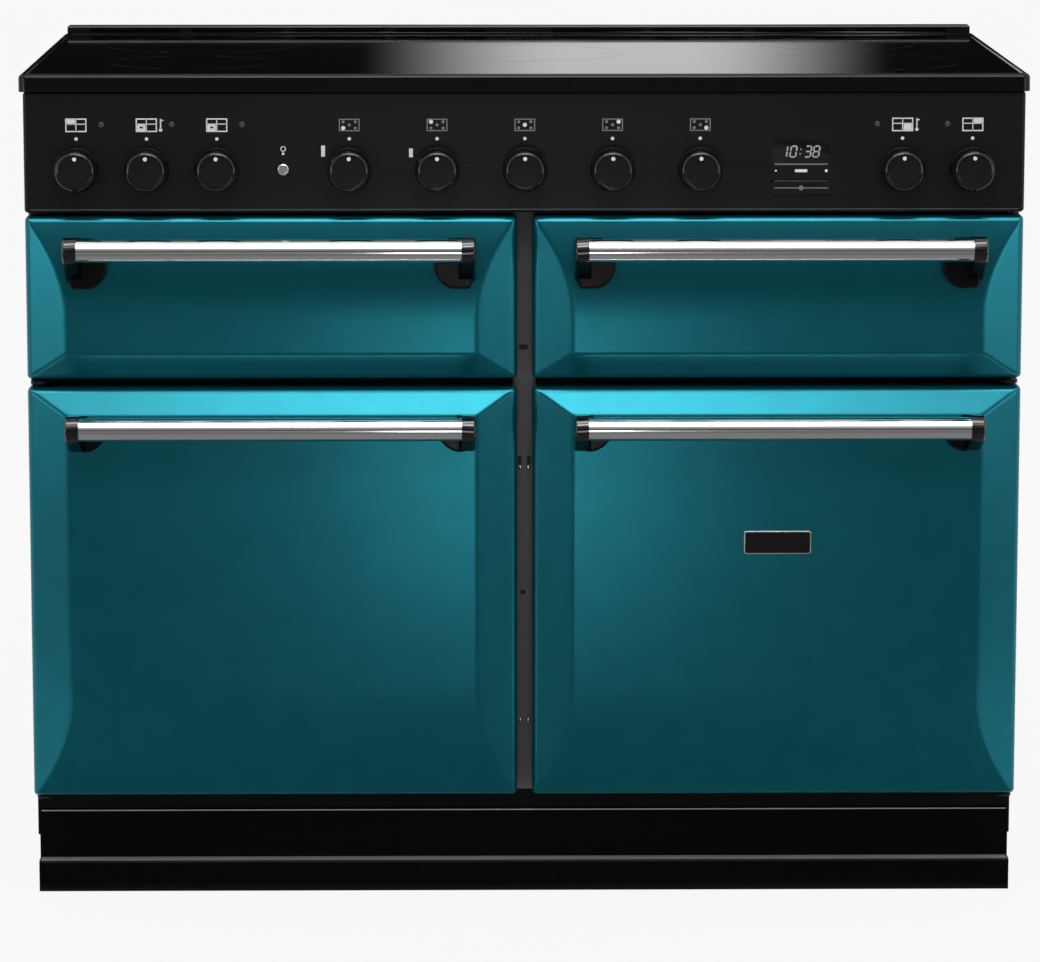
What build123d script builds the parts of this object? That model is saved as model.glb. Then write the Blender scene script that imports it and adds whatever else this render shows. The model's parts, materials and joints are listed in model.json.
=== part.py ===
from build123d import *
import os

os.makedirs("parts", exist_ok=True)

# Cabinet: its width and depth, and the height of the doors above the floor
BODY_WIDTH = 1091.0
BODY_DEPTH = 590.0
DOOR_BASE = 117.0

# Hob and rear vent
HOB_OVERHANG = 6.0
HOB_SIDE_OVERHANG = 4.5
HOB_EDGE = 19.0
HOB_CORNER = 9.0
HOB_ROUND = 5.0
HOB_RIM = 9.0
HOB_SHEET = 1.5
GLASS_THICKNESS = 4.0
GLASS_CORNER = 5.0
GLASS_ROUND = 0.8
GLASS_GAP = 0.8
GLASS_LEDGE = 14.0
VENT_RISE = 10.5
VENT_DEPTH = 16.0
VENT_END = 6.0
VENT_SHEET = 1.5
VENT_ROUND = 3.0
SLOT_HEIGHT = 4.6
SLOT_BRIDGE = 13.5
SLOT_END = 28.5
SLOT_CENTRE_BAR = 78.0
SLOTS_A_SIDE = 4
ZONE_EDGE = 155.0
ZONE_Y = 128.0
SMALL_COIL = 82.0
LARGE_COIL = 105.0
COIL_BORE = 14.0
COIL_THICKNESS = 8.0
COIL_CARRIER = 40.0
MODULE_WIDTH = 300.0
MODULE_DEPTH = 240.0
MODULE_HEIGHT = 70.0
MODULE_SHEET = 1.5
MODULE_CORNER = 5.0

# Fascia and its controls
FASCIA_HEIGHT = 132.5
FASCIA_SHEET = 2.0
FASCIA_ROUND = 4.0
FASCIA_EDGE = 3.4
FASCIA_GAP = 4.0
KNOB_RISE = 47.5
KNOB_RADIUS = 24.5
KNOB_FACE_RADIUS = 22.0
KNOB_LENGTH = 29.0
KNOB_SKIRT = 6.0
KNOB_ROUND = 3.5
KNOB_GAP = 1.0
KNOB_DISH = 0.6
OVEN_KNOB_INSET = 57.5
OVEN_KNOB_PITCH = 76.5
HOB_KNOB_PITCH = 95.5
SPINDLE_RADIUS = 4.0
SPINDLE_SEAT = 18.0
SWITCH_WIDTH = 34.0
SWITCH_DEPTH = 30.0
SWITCH_CORNER = 5.0
LAMP_RADIUS = 3.2
LAMP_PROUD = 1.2
LAMP_RISE = 96.5
LAMP_OFFSET = 27.5
LAMP_BODY_RADIUS = 5.0
LAMP_BODY_LENGTH = 12.0
BUTTON_RADIUS = 6.5
BUTTON_PROUD = 4.0
BUTTON_STEM_RADIUS = 4.0
BUTTON_STEM_LENGTH = 14.0
BUTTON_TRAVEL = 3.0
BUTTON_SHOULDER = 1.2
CLOCK_WIDTH = 62.0
CLOCK_HEIGHT = 26.0
CLOCK_RISE = 66.5
CLOCK_BODY_DEPTH = 28.0
CLOCK_BODY_MARGIN = 7.0
ROCKER_HEIGHT = 16.0
ROCKER_RISE = 27.0
ROCKER_PLATE = 4.0
ROCKER_PROUD = 2.5
ROCKER_PIN_RADIUS = 2.0
ROCKER_PIN_SETBACK = 6.0
ROCKER_PIN_SEAT = 3.0
ROCKER_POCKET = 11.0
ROCKER_PIP = 4.0
ROCKER_PIP_PROUD = 0.8

# Doors
UPPER_DOOR_HEIGHT = 179.5
LOWER_DOOR_HEIGHT = 459.0
CENTRE_GAP = 17.0
ROW_GAP = 9.0
FIELD_PROUD = 16.0
SIDE_BEVEL = 44.5
ROW_BEVEL = 30.0
UPPER_ARC = 114.0
LOWER_ARC = 122.0
DOOR_CORNER = 5.0
DOOR_EDGE_ROUND = 6.0
RIDGE_ROUND = 4.0
FIELD_SKIM = 0.02
PRISM_SPARE = 10.0
DOOR_SKIN_DEPTH = 36.0
DOOR_SHEET = 1.5
DOOR_FLANGE = 16.0
LINER_PLATE = 4.0
LINER_INSET = 6.0
PLUG_PROUD = 6.0
PLUG_CLEARANCE = 8.0
PLUG_ROUND = 3.0
PIVOT_INSET = 12.0
PIN_RADIUS = 4.0
PIN_SEAT = 12.0
HINGE_BOSS = 8.0
LUG_THICKNESS = 3.0
LUG_RADIUS = 9.0
LUG_WIDTH = 30.0
LUG_GAP = 1.0
CATCH_WIDTH = 16.0
CATCH_HEIGHT = 30.0
CATCH_CORNER = 2.0
CATCH_PROUD = 5.0
CATCH_ROLLER = 4.0
CATCH_DROP = 86.0

# Handles
BAR_DIAMETER = 25.0
BAR_WALL = 1.5
HANDLE_GAP = 26.0
HANDLE_INSET = 45.5
UPPER_HANDLE_DROP = 31.5
LOWER_HANDLE_DROP = 38.5
BRACKET_WIDTH = 15.0
BRACKET_WALL = 2.5
BRACKET_SEAT = 11.0
UPPER_BRACKET_FOOT = 52.0
LOWER_BRACKET_FOOT = 42.0
BRACKET_FOOT_TOP = 6.0
BRACKET_FOOT_WIDTH = 44.0
BRACKET_FOOT_CORNER = 13.0
BRACKET_FOOT_DEPTH = 10.0
BRACKET_NECK = 6.0
BRACKET_ROUND = 2.5

# Cabinet
SIDE_SHEET = 2.0
SIDE_FLANGE = 15.0
FRAME_SHEET = 2.0
FRAME_INSET = 1.0
BACK_SHEET = 1.5
BASE_SHEET = 2.0
BASE_HEIGHT = 40.0
BASE_DROP = 15.0
BASE_CORNER = 6.0
CABLE_RADIUS = 16.0
CABLE_INSET = 115.5
CABLE_RISE = 90.0
LOUVRE_LENGTH = 70.0
LOUVRE_HEIGHT = 6.0
LOUVRE_PITCH_X = 95.0
LOUVRE_PITCH_Z = 22.0
LOUVRE_COLUMNS = 3
LOUVRE_ROWS = 4
LOUVRE_DROP = 90.0
FOOT_INSET = 60.0
FOOT_RADIUS = 22.0
FOOT_HEIGHT = 14.0
FOOT_TAPER = 12.0
FOOT_STUD_RADIUS = 6.0
FOOT_NUT_RADIUS = 11.0
FOOT_NUT_HEIGHT = 8.0

# Plinth
PLINTH_INSET = 2.5
PLINTH_SETBACK = 24.0
PLINTH_STEP = 18.0
PLINTH_LEDGE = 36.7
PLINTH_GAP = 25.0
PLINTH_FLOOR_GAP = 2.0
PLINTH_SHEET = 2.0
PLINTH_ROUND = 3.0

# Oven cavities and what they hold
CAVITY_SIDE_MARGIN = 48.5
CAVITY_DEPTH = 420.0
CAVITY_CORNER = 12.0
LINER_SHEET = 1.5
LINER_FLANGE = 12.0
LOWER_CAVITY_MARGIN = 36.0
UPPER_CAVITY_MARGIN = 24.0
SEAL_THICKNESS = 6.0
SEAL_WIDTH = 10.0
SEAL_MARGIN = 4.0
SEAL_ROUND = 2.0
INSULATION = 18.0
INSULATION_START = 8.0
FAN_RADIUS = 72.0
FAN_PLATE = 1.5
FAN_BLADE_LENGTH = 24.0
FAN_BLADE_DEPTH = 22.0
FAN_BLADES = 9
FAN_HUB_RADIUS = 12.0
FAN_GAP = 8.0
SHAFT_RADIUS = 4.0
MOTOR_RADIUS = 32.0
MOTOR_LENGTH = 46.0
MOTOR_FLANGE_RADIUS = 42.0
MOTOR_FLANGE = 3.0
BAFFLE_DEPTH = 42.0
BAFFLE_MARGIN = 24.0
BAFFLE_SHEET = 1.5
BAFFLE_CORNER = 14.0
INTAKE_SLOT = 9.0
INTAKE_RINGS = ((21.6, 6), (43.2, 12))
OUTLET_BRIDGE = 20.0
OUTLET_END = 29.5
OUTLETS = 4
RING_RADIUS = 98.0
RING_LEAD = 12.0
ELEMENT_RADIUS = 3.5
ELEMENT_BEND = 26.0
GRILL_ELEMENT_DROP = 16.0
GRILL_RUNS = 6
GRILL_RUN_PITCH = 62.0
GRILL_RUN_INSET = 40.0
SLOW_ELEMENT_RISE = 9.0
SLOW_ELEMENT_WIDTH = 280.0
WIRE_RADIUS = 3.0
LADDER_OFFSET = 14.0
LADDER_INSET = 12.0
LADDER_PAD = 5.0
POST_OFFSET = 4.8
SHELF_INSET = 2.0
RACK_WIRE = 1.75
RACK_WIRES = 11
OVEN_RUNGS = (70.0, 150.0, 230.0, 310.0)
OVEN_SHELF_RUNGS = (70.0, 230.0)
SLOW_RUNGS = (40.0, 85.0)

# Glide-out grill
RUNNER_RISE = 44.0
RUNNER_HEIGHT = 16.0
RUNNER_DEPTH = 10.0
RUNNER_SHEET = 2.0
RUNNER_INSET = 8.0
SLIDE_GAP = 0.4
CARRIAGE_LEDGE = 14.0
CARRIAGE_SHEET = 2.0
CARRIAGE_REAR_GAP = 18.0
PAN_DEPTH = 28.0
PAN_SHEET = 1.5
PAN_RIM = 11.0
PAN_GAP = 1.5
PAN_CORNER = 18.0
TRIVET_GAP = 6.0
TRIVET_WIRES = 9

# Clearances shared by the fits
RUN_FIT = 0.05
SEAT_FIT = 0.05
HOLE_FIT = 0.6
WIRE_REST = 0.15

# Places along the depth, from the door edges back to the wall
TOTAL_DEPTH = BODY_DEPTH + FIELD_PROUD + HANDLE_GAP + BAR_DIAMETER + BRACKET_WALL
REAR_Y = TOTAL_DEPTH / 2
FRONT_Y = REAR_Y - BODY_DEPTH
FIELD_Y = FRONT_Y - FIELD_PROUD
BAR_Y = FIELD_Y - HANDLE_GAP - BAR_DIAMETER / 2
SKIN_BACK_Y = FRONT_Y + DOOR_SKIN_DEPTH
LINER_BACK_Y = SKIN_BACK_Y + LINER_PLATE
FRAME_Y = LINER_BACK_Y + SEAL_THICKNESS
FRAME_BACK_Y = FRAME_Y + FRAME_SHEET
CAVITY_BACK_Y = FRAME_BACK_Y + CAVITY_DEPTH
BAFFLE_Y = CAVITY_BACK_Y - BAFFLE_DEPTH
BACK_PANEL_Y = REAR_Y - BACK_SHEET
FASCIA_BACK_Y = FRONT_Y + FASCIA_SHEET

# Heights, stacked from the base up to the hob
LOWER_BOTTOM = DOOR_BASE
LOWER_TOP = LOWER_BOTTOM + LOWER_DOOR_HEIGHT
UPPER_BOTTOM = LOWER_TOP + ROW_GAP
UPPER_TOP = UPPER_BOTTOM + UPPER_DOOR_HEIGHT
FASCIA_BOTTOM = UPPER_TOP + FASCIA_GAP
RIM_BOTTOM = FASCIA_BOTTOM + FASCIA_HEIGHT
TRAY_FLOOR = RIM_BOTTOM + HOB_SHEET
HOB_HEIGHT = RIM_BOTTOM + HOB_EDGE
BASE_TOP = LOWER_BOTTOM - BASE_DROP
BASE_BOTTOM = BASE_TOP - BASE_HEIGHT
PLINTH_TOP = LOWER_BOTTOM - PLINTH_GAP
KNOB_Z = FASCIA_BOTTOM + KNOB_RISE

# Places across the width
HALF_BODY = BODY_WIDTH / 2
HOB_WIDTH = BODY_WIDTH + 2 * HOB_SIDE_OVERHANG
PLINTH_WIDTH = BODY_WIDTH - 2 * PLINTH_INSET
DOOR_WIDTH = (BODY_WIDTH - CENTRE_GAP) / 2
CAVITY_WIDTH = DOOR_WIDTH - 2 * CAVITY_SIDE_MARGIN
HANDLE_SPAN = DOOR_WIDTH - 2 * HANDLE_INSET
COLUMN_X = CENTRE_GAP / 2 + DOOR_WIDTH / 2
GRILL_REACH = (GRILL_RUNS - 1) / 2 * GRILL_RUN_PITCH
PIVOT_X = HALF_BODY - PIVOT_INSET
PIVOT_Y = FRONT_Y + PIVOT_INSET

UPPER_CAVITY_BOTTOM = UPPER_BOTTOM + UPPER_CAVITY_MARGIN
UPPER_CAVITY_HEIGHT = UPPER_DOOR_HEIGHT - 2 * UPPER_CAVITY_MARGIN
LOWER_CAVITY_BOTTOM = LOWER_BOTTOM + LOWER_CAVITY_MARGIN
LOWER_CAVITY_HEIGHT = LOWER_DOOR_HEIGHT - 2 * LOWER_CAVITY_MARGIN
FAN_Z = LOWER_CAVITY_BOTTOM + LOWER_CAVITY_HEIGHT / 2


def front_plane(y):
    """Upright plane at depth y, seen from the front: X to the right, Z up."""
    return Plane.XZ.offset(-y)


# The four cavities: name, side, lowest point and height
CAVITIES = (
    ("grill", -1, UPPER_CAVITY_BOTTOM, UPPER_CAVITY_HEIGHT),
    ("slow_oven", 1, UPPER_CAVITY_BOTTOM, UPPER_CAVITY_HEIGHT),
    ("left_oven", -1, LOWER_CAVITY_BOTTOM, LOWER_CAVITY_HEIGHT),
    ("right_oven", 1, LOWER_CAVITY_BOTTOM, LOWER_CAVITY_HEIGHT),
)

# The four doors: name, side, lowest point, height, arc, drop of the handle, swings on pins
DOORS = (
    ("grill", -1, UPPER_BOTTOM, UPPER_DOOR_HEIGHT, UPPER_ARC, UPPER_HANDLE_DROP, False),
    ("slow_oven", 1, UPPER_BOTTOM, UPPER_DOOR_HEIGHT, UPPER_ARC, UPPER_HANDLE_DROP, True),
    ("left_oven", -1, LOWER_BOTTOM, LOWER_DOOR_HEIGHT, LOWER_ARC, LOWER_HANDLE_DROP, True),
    ("right_oven", 1, LOWER_BOTTOM, LOWER_DOOR_HEIGHT, LOWER_ARC, LOWER_HANDLE_DROP, True),
)

# Base frame: an inverted folded tray that carries the ovens and stands on four feet
base_front = FRAME_BACK_Y + SIDE_SHEET
base_back = BACK_PANEL_Y - SIDE_SHEET
base_width = BODY_WIDTH - 2 * SIDE_SHEET
foot_x = base_width / 2 - FOOT_INSET
foot_y = (base_back - base_front) / 2 - FOOT_INSET
base_middle = (base_front + base_back) / 2
with BuildPart() as base_frame:
    with BuildSketch(Plane.XY.offset(BASE_BOTTOM)):
        with Locations((0, base_middle)):
            RectangleRounded(base_width, base_back - base_front, BASE_CORNER)
    extrude(amount=BASE_HEIGHT)
    underside = base_frame.faces().sort_by(Axis.Z)[0]
    offset(amount=-BASE_SHEET, openings=underside)
    with Locations((0, base_middle, BASE_TOP)):
        with GridLocations(2 * foot_x, 2 * foot_y, 2, 2):
            Hole(FOOT_STUD_RADIUS + RUN_FIT)
base_frame.part.label = "base_frame"
export_step(base_frame.part, "parts/base_frame.step")

# Levelling feet: a pad, a lock nut under the base plate and the stud through it
with BuildPart() as levelling_feet:
    with BuildSketch():
        with Locations((0, base_middle)):
            with GridLocations(2 * foot_x, 2 * foot_y, 2, 2):
                Circle(FOOT_RADIUS)
    extrude(amount=FOOT_HEIGHT, taper=FOOT_TAPER)
    with BuildSketch(Plane.XY.offset(FOOT_HEIGHT)):
        with Locations((0, base_middle)):
            with GridLocations(2 * foot_x, 2 * foot_y, 2, 2):
                Circle(FOOT_STUD_RADIUS)
    extrude(amount=BASE_TOP - FOOT_HEIGHT)
    with BuildSketch(Plane.XY.offset(BASE_TOP - BASE_SHEET - FOOT_NUT_HEIGHT)):
        with Locations((0, base_middle)):
            with GridLocations(2 * foot_x, 2 * foot_y, 2, 2):
                RegularPolygon(FOOT_NUT_RADIUS, 6)
    extrude(amount=FOOT_NUT_HEIGHT)
levelling_feet.part.label = "levelling_feet"
export_step(levelling_feet.part, "parts/levelling_feet.step")

# Side panels: folded sheets with a return flange at the front and the back
side_depth = BACK_PANEL_Y - FRAME_BACK_Y
with BuildPart() as side_panels:
    with BuildSketch(Plane.XY.offset(BASE_BOTTOM)):
        with Locations((HALF_BODY, FRAME_BACK_Y)):
            Rectangle(SIDE_FLANGE, side_depth, align=(Align.MAX, Align.MIN))
        with Locations((HALF_BODY - SIDE_SHEET, FRAME_BACK_Y + SIDE_SHEET)):
            inner_depth = side_depth - 2 * SIDE_SHEET
            Rectangle(SIDE_FLANGE, inner_depth, align=(Align.MAX, Align.MIN), mode=Mode.SUBTRACT)
    extrude(amount=RIM_BOTTOM - BASE_BOTTOM)
    mirror(about=Plane.YZ)
side_panels.part.label = "side_panels"
export_step(side_panels.part, "parts/side_panels.step")

# Back panel: a flat sheet with two groups of louvres and the cable entry
cable_x = HALF_BODY - CABLE_INSET
cable_z = BASE_BOTTOM + CABLE_RISE
with BuildPart() as back_panel:
    with BuildSketch(front_plane(BACK_PANEL_Y)):
        with Locations((0, (RIM_BOTTOM + BASE_BOTTOM) / 2)):
            Rectangle(BODY_WIDTH, RIM_BOTTOM - BASE_BOTTOM)
        with Locations((-COLUMN_X, RIM_BOTTOM - LOUVRE_DROP), (COLUMN_X, RIM_BOTTOM - LOUVRE_DROP)):
            with GridLocations(LOUVRE_PITCH_X, LOUVRE_PITCH_Z, LOUVRE_COLUMNS, LOUVRE_ROWS):
                SlotOverall(LOUVRE_LENGTH, LOUVRE_HEIGHT, mode=Mode.SUBTRACT)
        with Locations((cable_x, cable_z)):
            Circle(CABLE_RADIUS, mode=Mode.SUBTRACT)
    extrude(amount=-BACK_SHEET)
back_panel.part.label = "back_panel"
export_step(back_panel.part, "parts/back_panel.step")

# Front frame: one sheet with the four oven mouths and the control opening above them
control_bottom = FASCIA_BOTTOM + FASCIA_SHEET + 2 * LUG_THICKNESS + LUG_RADIUS
control_top = RIM_BOTTOM - FASCIA_SHEET - LUG_RADIUS
control_width = BODY_WIDTH - 2 * SIDE_FLANGE
catch_x = CENTRE_GAP / 2 + LINER_INSET + CATCH_WIDTH / 2
CATCHES = (
    (-catch_x, LOWER_TOP - CATCH_DROP),
    (catch_x, LOWER_TOP - CATCH_DROP),
    (catch_x, UPPER_BOTTOM + UPPER_DOOR_HEIGHT / 2),
)
with BuildPart() as front_frame:
    with BuildSketch(front_plane(FRAME_Y)):
        with Locations((0, (RIM_BOTTOM + BASE_BOTTOM) / 2)):
            Rectangle(BODY_WIDTH - 2 * FRAME_INSET, RIM_BOTTOM - BASE_BOTTOM)
        for name, side, bottom, height in CAVITIES:
            with Locations((side * COLUMN_X, bottom + height / 2)):
                RectangleRounded(CAVITY_WIDTH, height, CAVITY_CORNER, mode=Mode.SUBTRACT)
        with Locations((0, (control_bottom + control_top) / 2)):
            Rectangle(control_width, control_top - control_bottom, mode=Mode.SUBTRACT)
    extrude(amount=-FRAME_SHEET)
front_frame.part.label = "front_frame"
export_step(front_frame.part, "parts/front_frame.step")

# Oven liners: enamelled boxes with a flange that bolts to the back of the front frame
for name, side, bottom, height in CAVITIES:
    middle = (side * COLUMN_X, bottom + height / 2)
    outer_corner = CAVITY_CORNER + LINER_SHEET
    with BuildPart() as liner:
        with BuildSketch(front_plane(FRAME_BACK_Y)):
            with Locations(middle):
                RectangleRounded(CAVITY_WIDTH + 2 * LINER_SHEET, height + 2 * LINER_SHEET, outer_corner)
        extrude(amount=-(CAVITY_DEPTH + LINER_SHEET))
        with BuildSketch(front_plane(FRAME_BACK_Y)):
            with Locations(middle):
                RectangleRounded(CAVITY_WIDTH + 2 * LINER_FLANGE, height + 2 * LINER_FLANGE, outer_corner)
        extrude(amount=-LINER_SHEET)
        with BuildSketch(front_plane(FRAME_BACK_Y)):
            with Locations(middle):
                RectangleRounded(CAVITY_WIDTH, height, CAVITY_CORNER)
        extrude(amount=-CAVITY_DEPTH, mode=Mode.SUBTRACT)
        with BuildSketch(front_plane(CAVITY_BACK_Y)):
            if name == "grill":
                leads = GRILL_REACH
                lead_z = bottom + height - GRILL_ELEMENT_DROP
            elif name == "slow_oven":
                leads = SLOW_ELEMENT_WIDTH / 2
                lead_z = bottom + SLOW_ELEMENT_RISE
            else:
                leads = RING_LEAD
                lead_z = FAN_Z - RING_RADIUS
                with Locations(middle):
                    Circle(SHAFT_RADIUS + HOLE_FIT)
            with Locations((side * COLUMN_X - leads, lead_z), (side * COLUMN_X + leads, lead_z)):
                Circle(ELEMENT_RADIUS + HOLE_FIT)
        extrude(amount=-LINER_SHEET, mode=Mode.SUBTRACT)
    liner.part.label = f"{name}_liner"
    export_step(liner.part, f"parts/{name}_liner.step")

# Insulation: a thick wrap around each liner, open at the front and pierced behind the fans
with BuildPart() as oven_insulation:
    for name, side, bottom, height in CAVITIES:
        middle = (side * COLUMN_X, bottom + height / 2)
        wrap_width = CAVITY_WIDTH + 2 * LINER_SHEET
        wrap_height = height + 2 * LINER_SHEET
        with BuildSketch(front_plane(FRAME_BACK_Y + INSULATION_START)):
            with Locations(middle):
                Rectangle(wrap_width + 2 * INSULATION, wrap_height + 2 * INSULATION)
        extrude(amount=-(CAVITY_DEPTH + LINER_SHEET + INSULATION - INSULATION_START))
    for name, side, bottom, height in CAVITIES:
        middle = (side * COLUMN_X, bottom + height / 2)
        wrap_width = CAVITY_WIDTH + 2 * LINER_SHEET
        wrap_height = height + 2 * LINER_SHEET
        with BuildSketch(front_plane(FRAME_BACK_Y)):
            with Locations(middle):
                RectangleRounded(wrap_width, wrap_height, CAVITY_CORNER + LINER_SHEET)
        extrude(amount=-(CAVITY_DEPTH + LINER_SHEET), mode=Mode.SUBTRACT)
        with BuildSketch(front_plane(CAVITY_BACK_Y)):
            with Locations(middle):
                if height == LOWER_CAVITY_HEIGHT:
                    Circle(MOTOR_FLANGE_RADIUS + HOLE_FIT)
                    with Locations((0, -RING_RADIUS)):
                        SlotOverall(4 * RING_LEAD, 2 * RING_LEAD)
                else:
                    Rectangle(CAVITY_WIDTH - 2 * LINER_FLANGE, height - 2 * ELEMENT_RADIUS)
        extrude(amount=-(LINER_SHEET + INSULATION), mode=Mode.SUBTRACT)
oven_insulation.part.label = "oven_insulation"
export_step(oven_insulation.part, "parts/oven_insulation.step")

# Door seals: a rounded gasket on the frame around each oven mouth
with BuildPart() as door_seals:
    for name, side, bottom, height in CAVITIES:
        with BuildSketch(front_plane(FRAME_Y)):
            with Locations((side * COLUMN_X, bottom + height / 2)):
                reach = SEAL_MARGIN + SEAL_WIDTH
                outer_round = CAVITY_CORNER + reach
                inner_round = CAVITY_CORNER + SEAL_MARGIN
                RectangleRounded(CAVITY_WIDTH + 2 * reach, height + 2 * reach, outer_round)
                RectangleRounded(
                    CAVITY_WIDTH + 2 * SEAL_MARGIN,
                    height + 2 * SEAL_MARGIN,
                    inner_round,
                    mode=Mode.SUBTRACT,
                )
        extrude(amount=SEAL_THICKNESS)
    seal_fronts = door_seals.faces().filter_by(Plane.XZ).group_by(Axis.Y)[0]
    fillet(seal_fronts.edges(), SEAL_ROUND)
door_seals.part.label = "door_seals"
export_step(door_seals.part, "parts/door_seals.step")

# Door hardware: hinge lugs with their pins, and the roller catches on the centre stile
lower_lug = LOWER_BOTTOM - LUG_GAP - LUG_THICKNESS
middle_lug = LOWER_TOP + (ROW_GAP - LUG_THICKNESS) / 2
upper_lug = FASCIA_BOTTOM + FASCIA_SHEET + LUG_GAP
# Each lug: side, height, length of its pin upwards and downwards
LUGS = (
    (-1, lower_lug, LUG_GAP + PIN_SEAT, 0),
    (1, lower_lug, LUG_GAP + PIN_SEAT, 0),
    (-1, middle_lug, 0, middle_lug - LOWER_TOP + PIN_SEAT),
    (1, middle_lug, UPPER_BOTTOM - middle_lug - LUG_THICKNESS + PIN_SEAT, middle_lug - LOWER_TOP + PIN_SEAT),
    (1, upper_lug, 0, upper_lug - UPPER_TOP + PIN_SEAT),
)
with BuildPart() as door_hardware:
    for side, height, pin_up, pin_down in LUGS:
        with BuildSketch(Plane.XY.offset(height)):
            with Locations((side * PIVOT_X, PIVOT_Y)):
                Circle(LUG_RADIUS)
            lug_root = side * (PIVOT_X + LUG_RADIUS - LUG_WIDTH / 2)
            with Locations((lug_root, FRAME_Y)):
                Rectangle(LUG_WIDTH, LUG_THICKNESS, align=(Align.CENTER, Align.MAX))
            make_hull()
        extrude(amount=LUG_THICKNESS)
        with BuildSketch(Plane.XY.offset(height - pin_down)):
            with Locations((side * PIVOT_X, PIVOT_Y)):
                Circle(PIN_RADIUS)
        extrude(amount=pin_down + LUG_THICKNESS + pin_up)
    for catch_place, catch_z in CATCHES:
        with BuildSketch(front_plane(FRAME_Y)):
            with Locations((catch_place, catch_z)):
                RectangleRounded(CATCH_WIDTH, CATCH_HEIGHT, CATCH_CORNER)
        extrude(amount=CATCH_PROUD - CATCH_ROLLER / 2)
        roller_y = FRAME_Y - CATCH_PROUD + CATCH_ROLLER / 2
        with Locations((catch_place, roller_y, catch_z)):
            Cylinder(CATCH_ROLLER / 2, CATCH_HEIGHT / 2)
door_hardware.part.label = "door_hardware"
export_step(door_hardware.part, "parts/door_hardware.step")


def door_form(side, bottom, height, arc, inset):
    """Closed form of a door front with its raised field, drawn in by inset on every side."""
    left = side * COLUMN_X - DOOR_WIDTH / 2 + inset
    right = side * COLUMN_X + DOOR_WIDTH / 2 - inset
    front = FRONT_Y + inset
    field = FIELD_Y + inset
    back = SKIN_BACK_Y - inset
    arc_is_up = arc == UPPER_ARC
    low, high = bottom + inset, bottom + height - inset
    arc_edge, bevel_edge = (high, low) if arc_is_up else (low, high)
    up = 1 if arc_is_up else -1
    arc_start = arc_edge - up * arc
    ridge = bevel_edge + up * ROW_BEVEL
    with BuildPart() as form:
        with BuildSketch(Plane.YZ.offset(left - PRISM_SPARE)) as side_view:
            with BuildLine():
                Line((back, arc_edge), (front, arc_edge))
                TangentArc((field, arc_start), (front, arc_edge), tangent=(0, up))
                Line((field, arc_start), (field, ridge))
                Polyline((field, ridge), (front, bevel_edge), (back, bevel_edge))
                Line((back, bevel_edge), (back, arc_edge))
            make_face()
            rim_points = side_view.vertices().sort_by(Axis.X)[2:4]
            fillet(rim_points, DOOR_EDGE_ROUND - inset)
            field_points = side_view.vertices().sort_by(Axis.X)[:2].sort_by(Axis.Y)
            fillet(field_points[0 if arc_is_up else -1], RIDGE_ROUND)
        extrude(amount=right - left + 2 * PRISM_SPARE)
        with BuildSketch(Plane.XY.offset(bottom - PRISM_SPARE)) as plan:
            with BuildLine():
                Polyline(
                    (left, back + PRISM_SPARE),
                    (left, front),
                    (left + SIDE_BEVEL, field - FIELD_SKIM),
                    (right - SIDE_BEVEL, field - FIELD_SKIM),
                    (right, front),
                    (right, back + PRISM_SPARE),
                    close=True,
                )
            make_face()
            rim_points = plan.vertices().sort_by(Axis.Y)[2:4]
            fillet(rim_points, DOOR_EDGE_ROUND - inset)
            field_points = plan.vertices().sort_by(Axis.Y)[:2]
            fillet(field_points, RIDGE_ROUND)
        extrude(amount=height + 2 * PRISM_SPARE, mode=Mode.INTERSECT)
        with BuildSketch(front_plane(field - PRISM_SPARE)):
            with Locations(((left + right) / 2, (low + high) / 2)):
                RectangleRounded(right - left, high - low, DOOR_CORNER - inset)
        extrude(amount=-(back - field + 2 * PRISM_SPARE), mode=Mode.INTERSECT)
    return form.part


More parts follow.
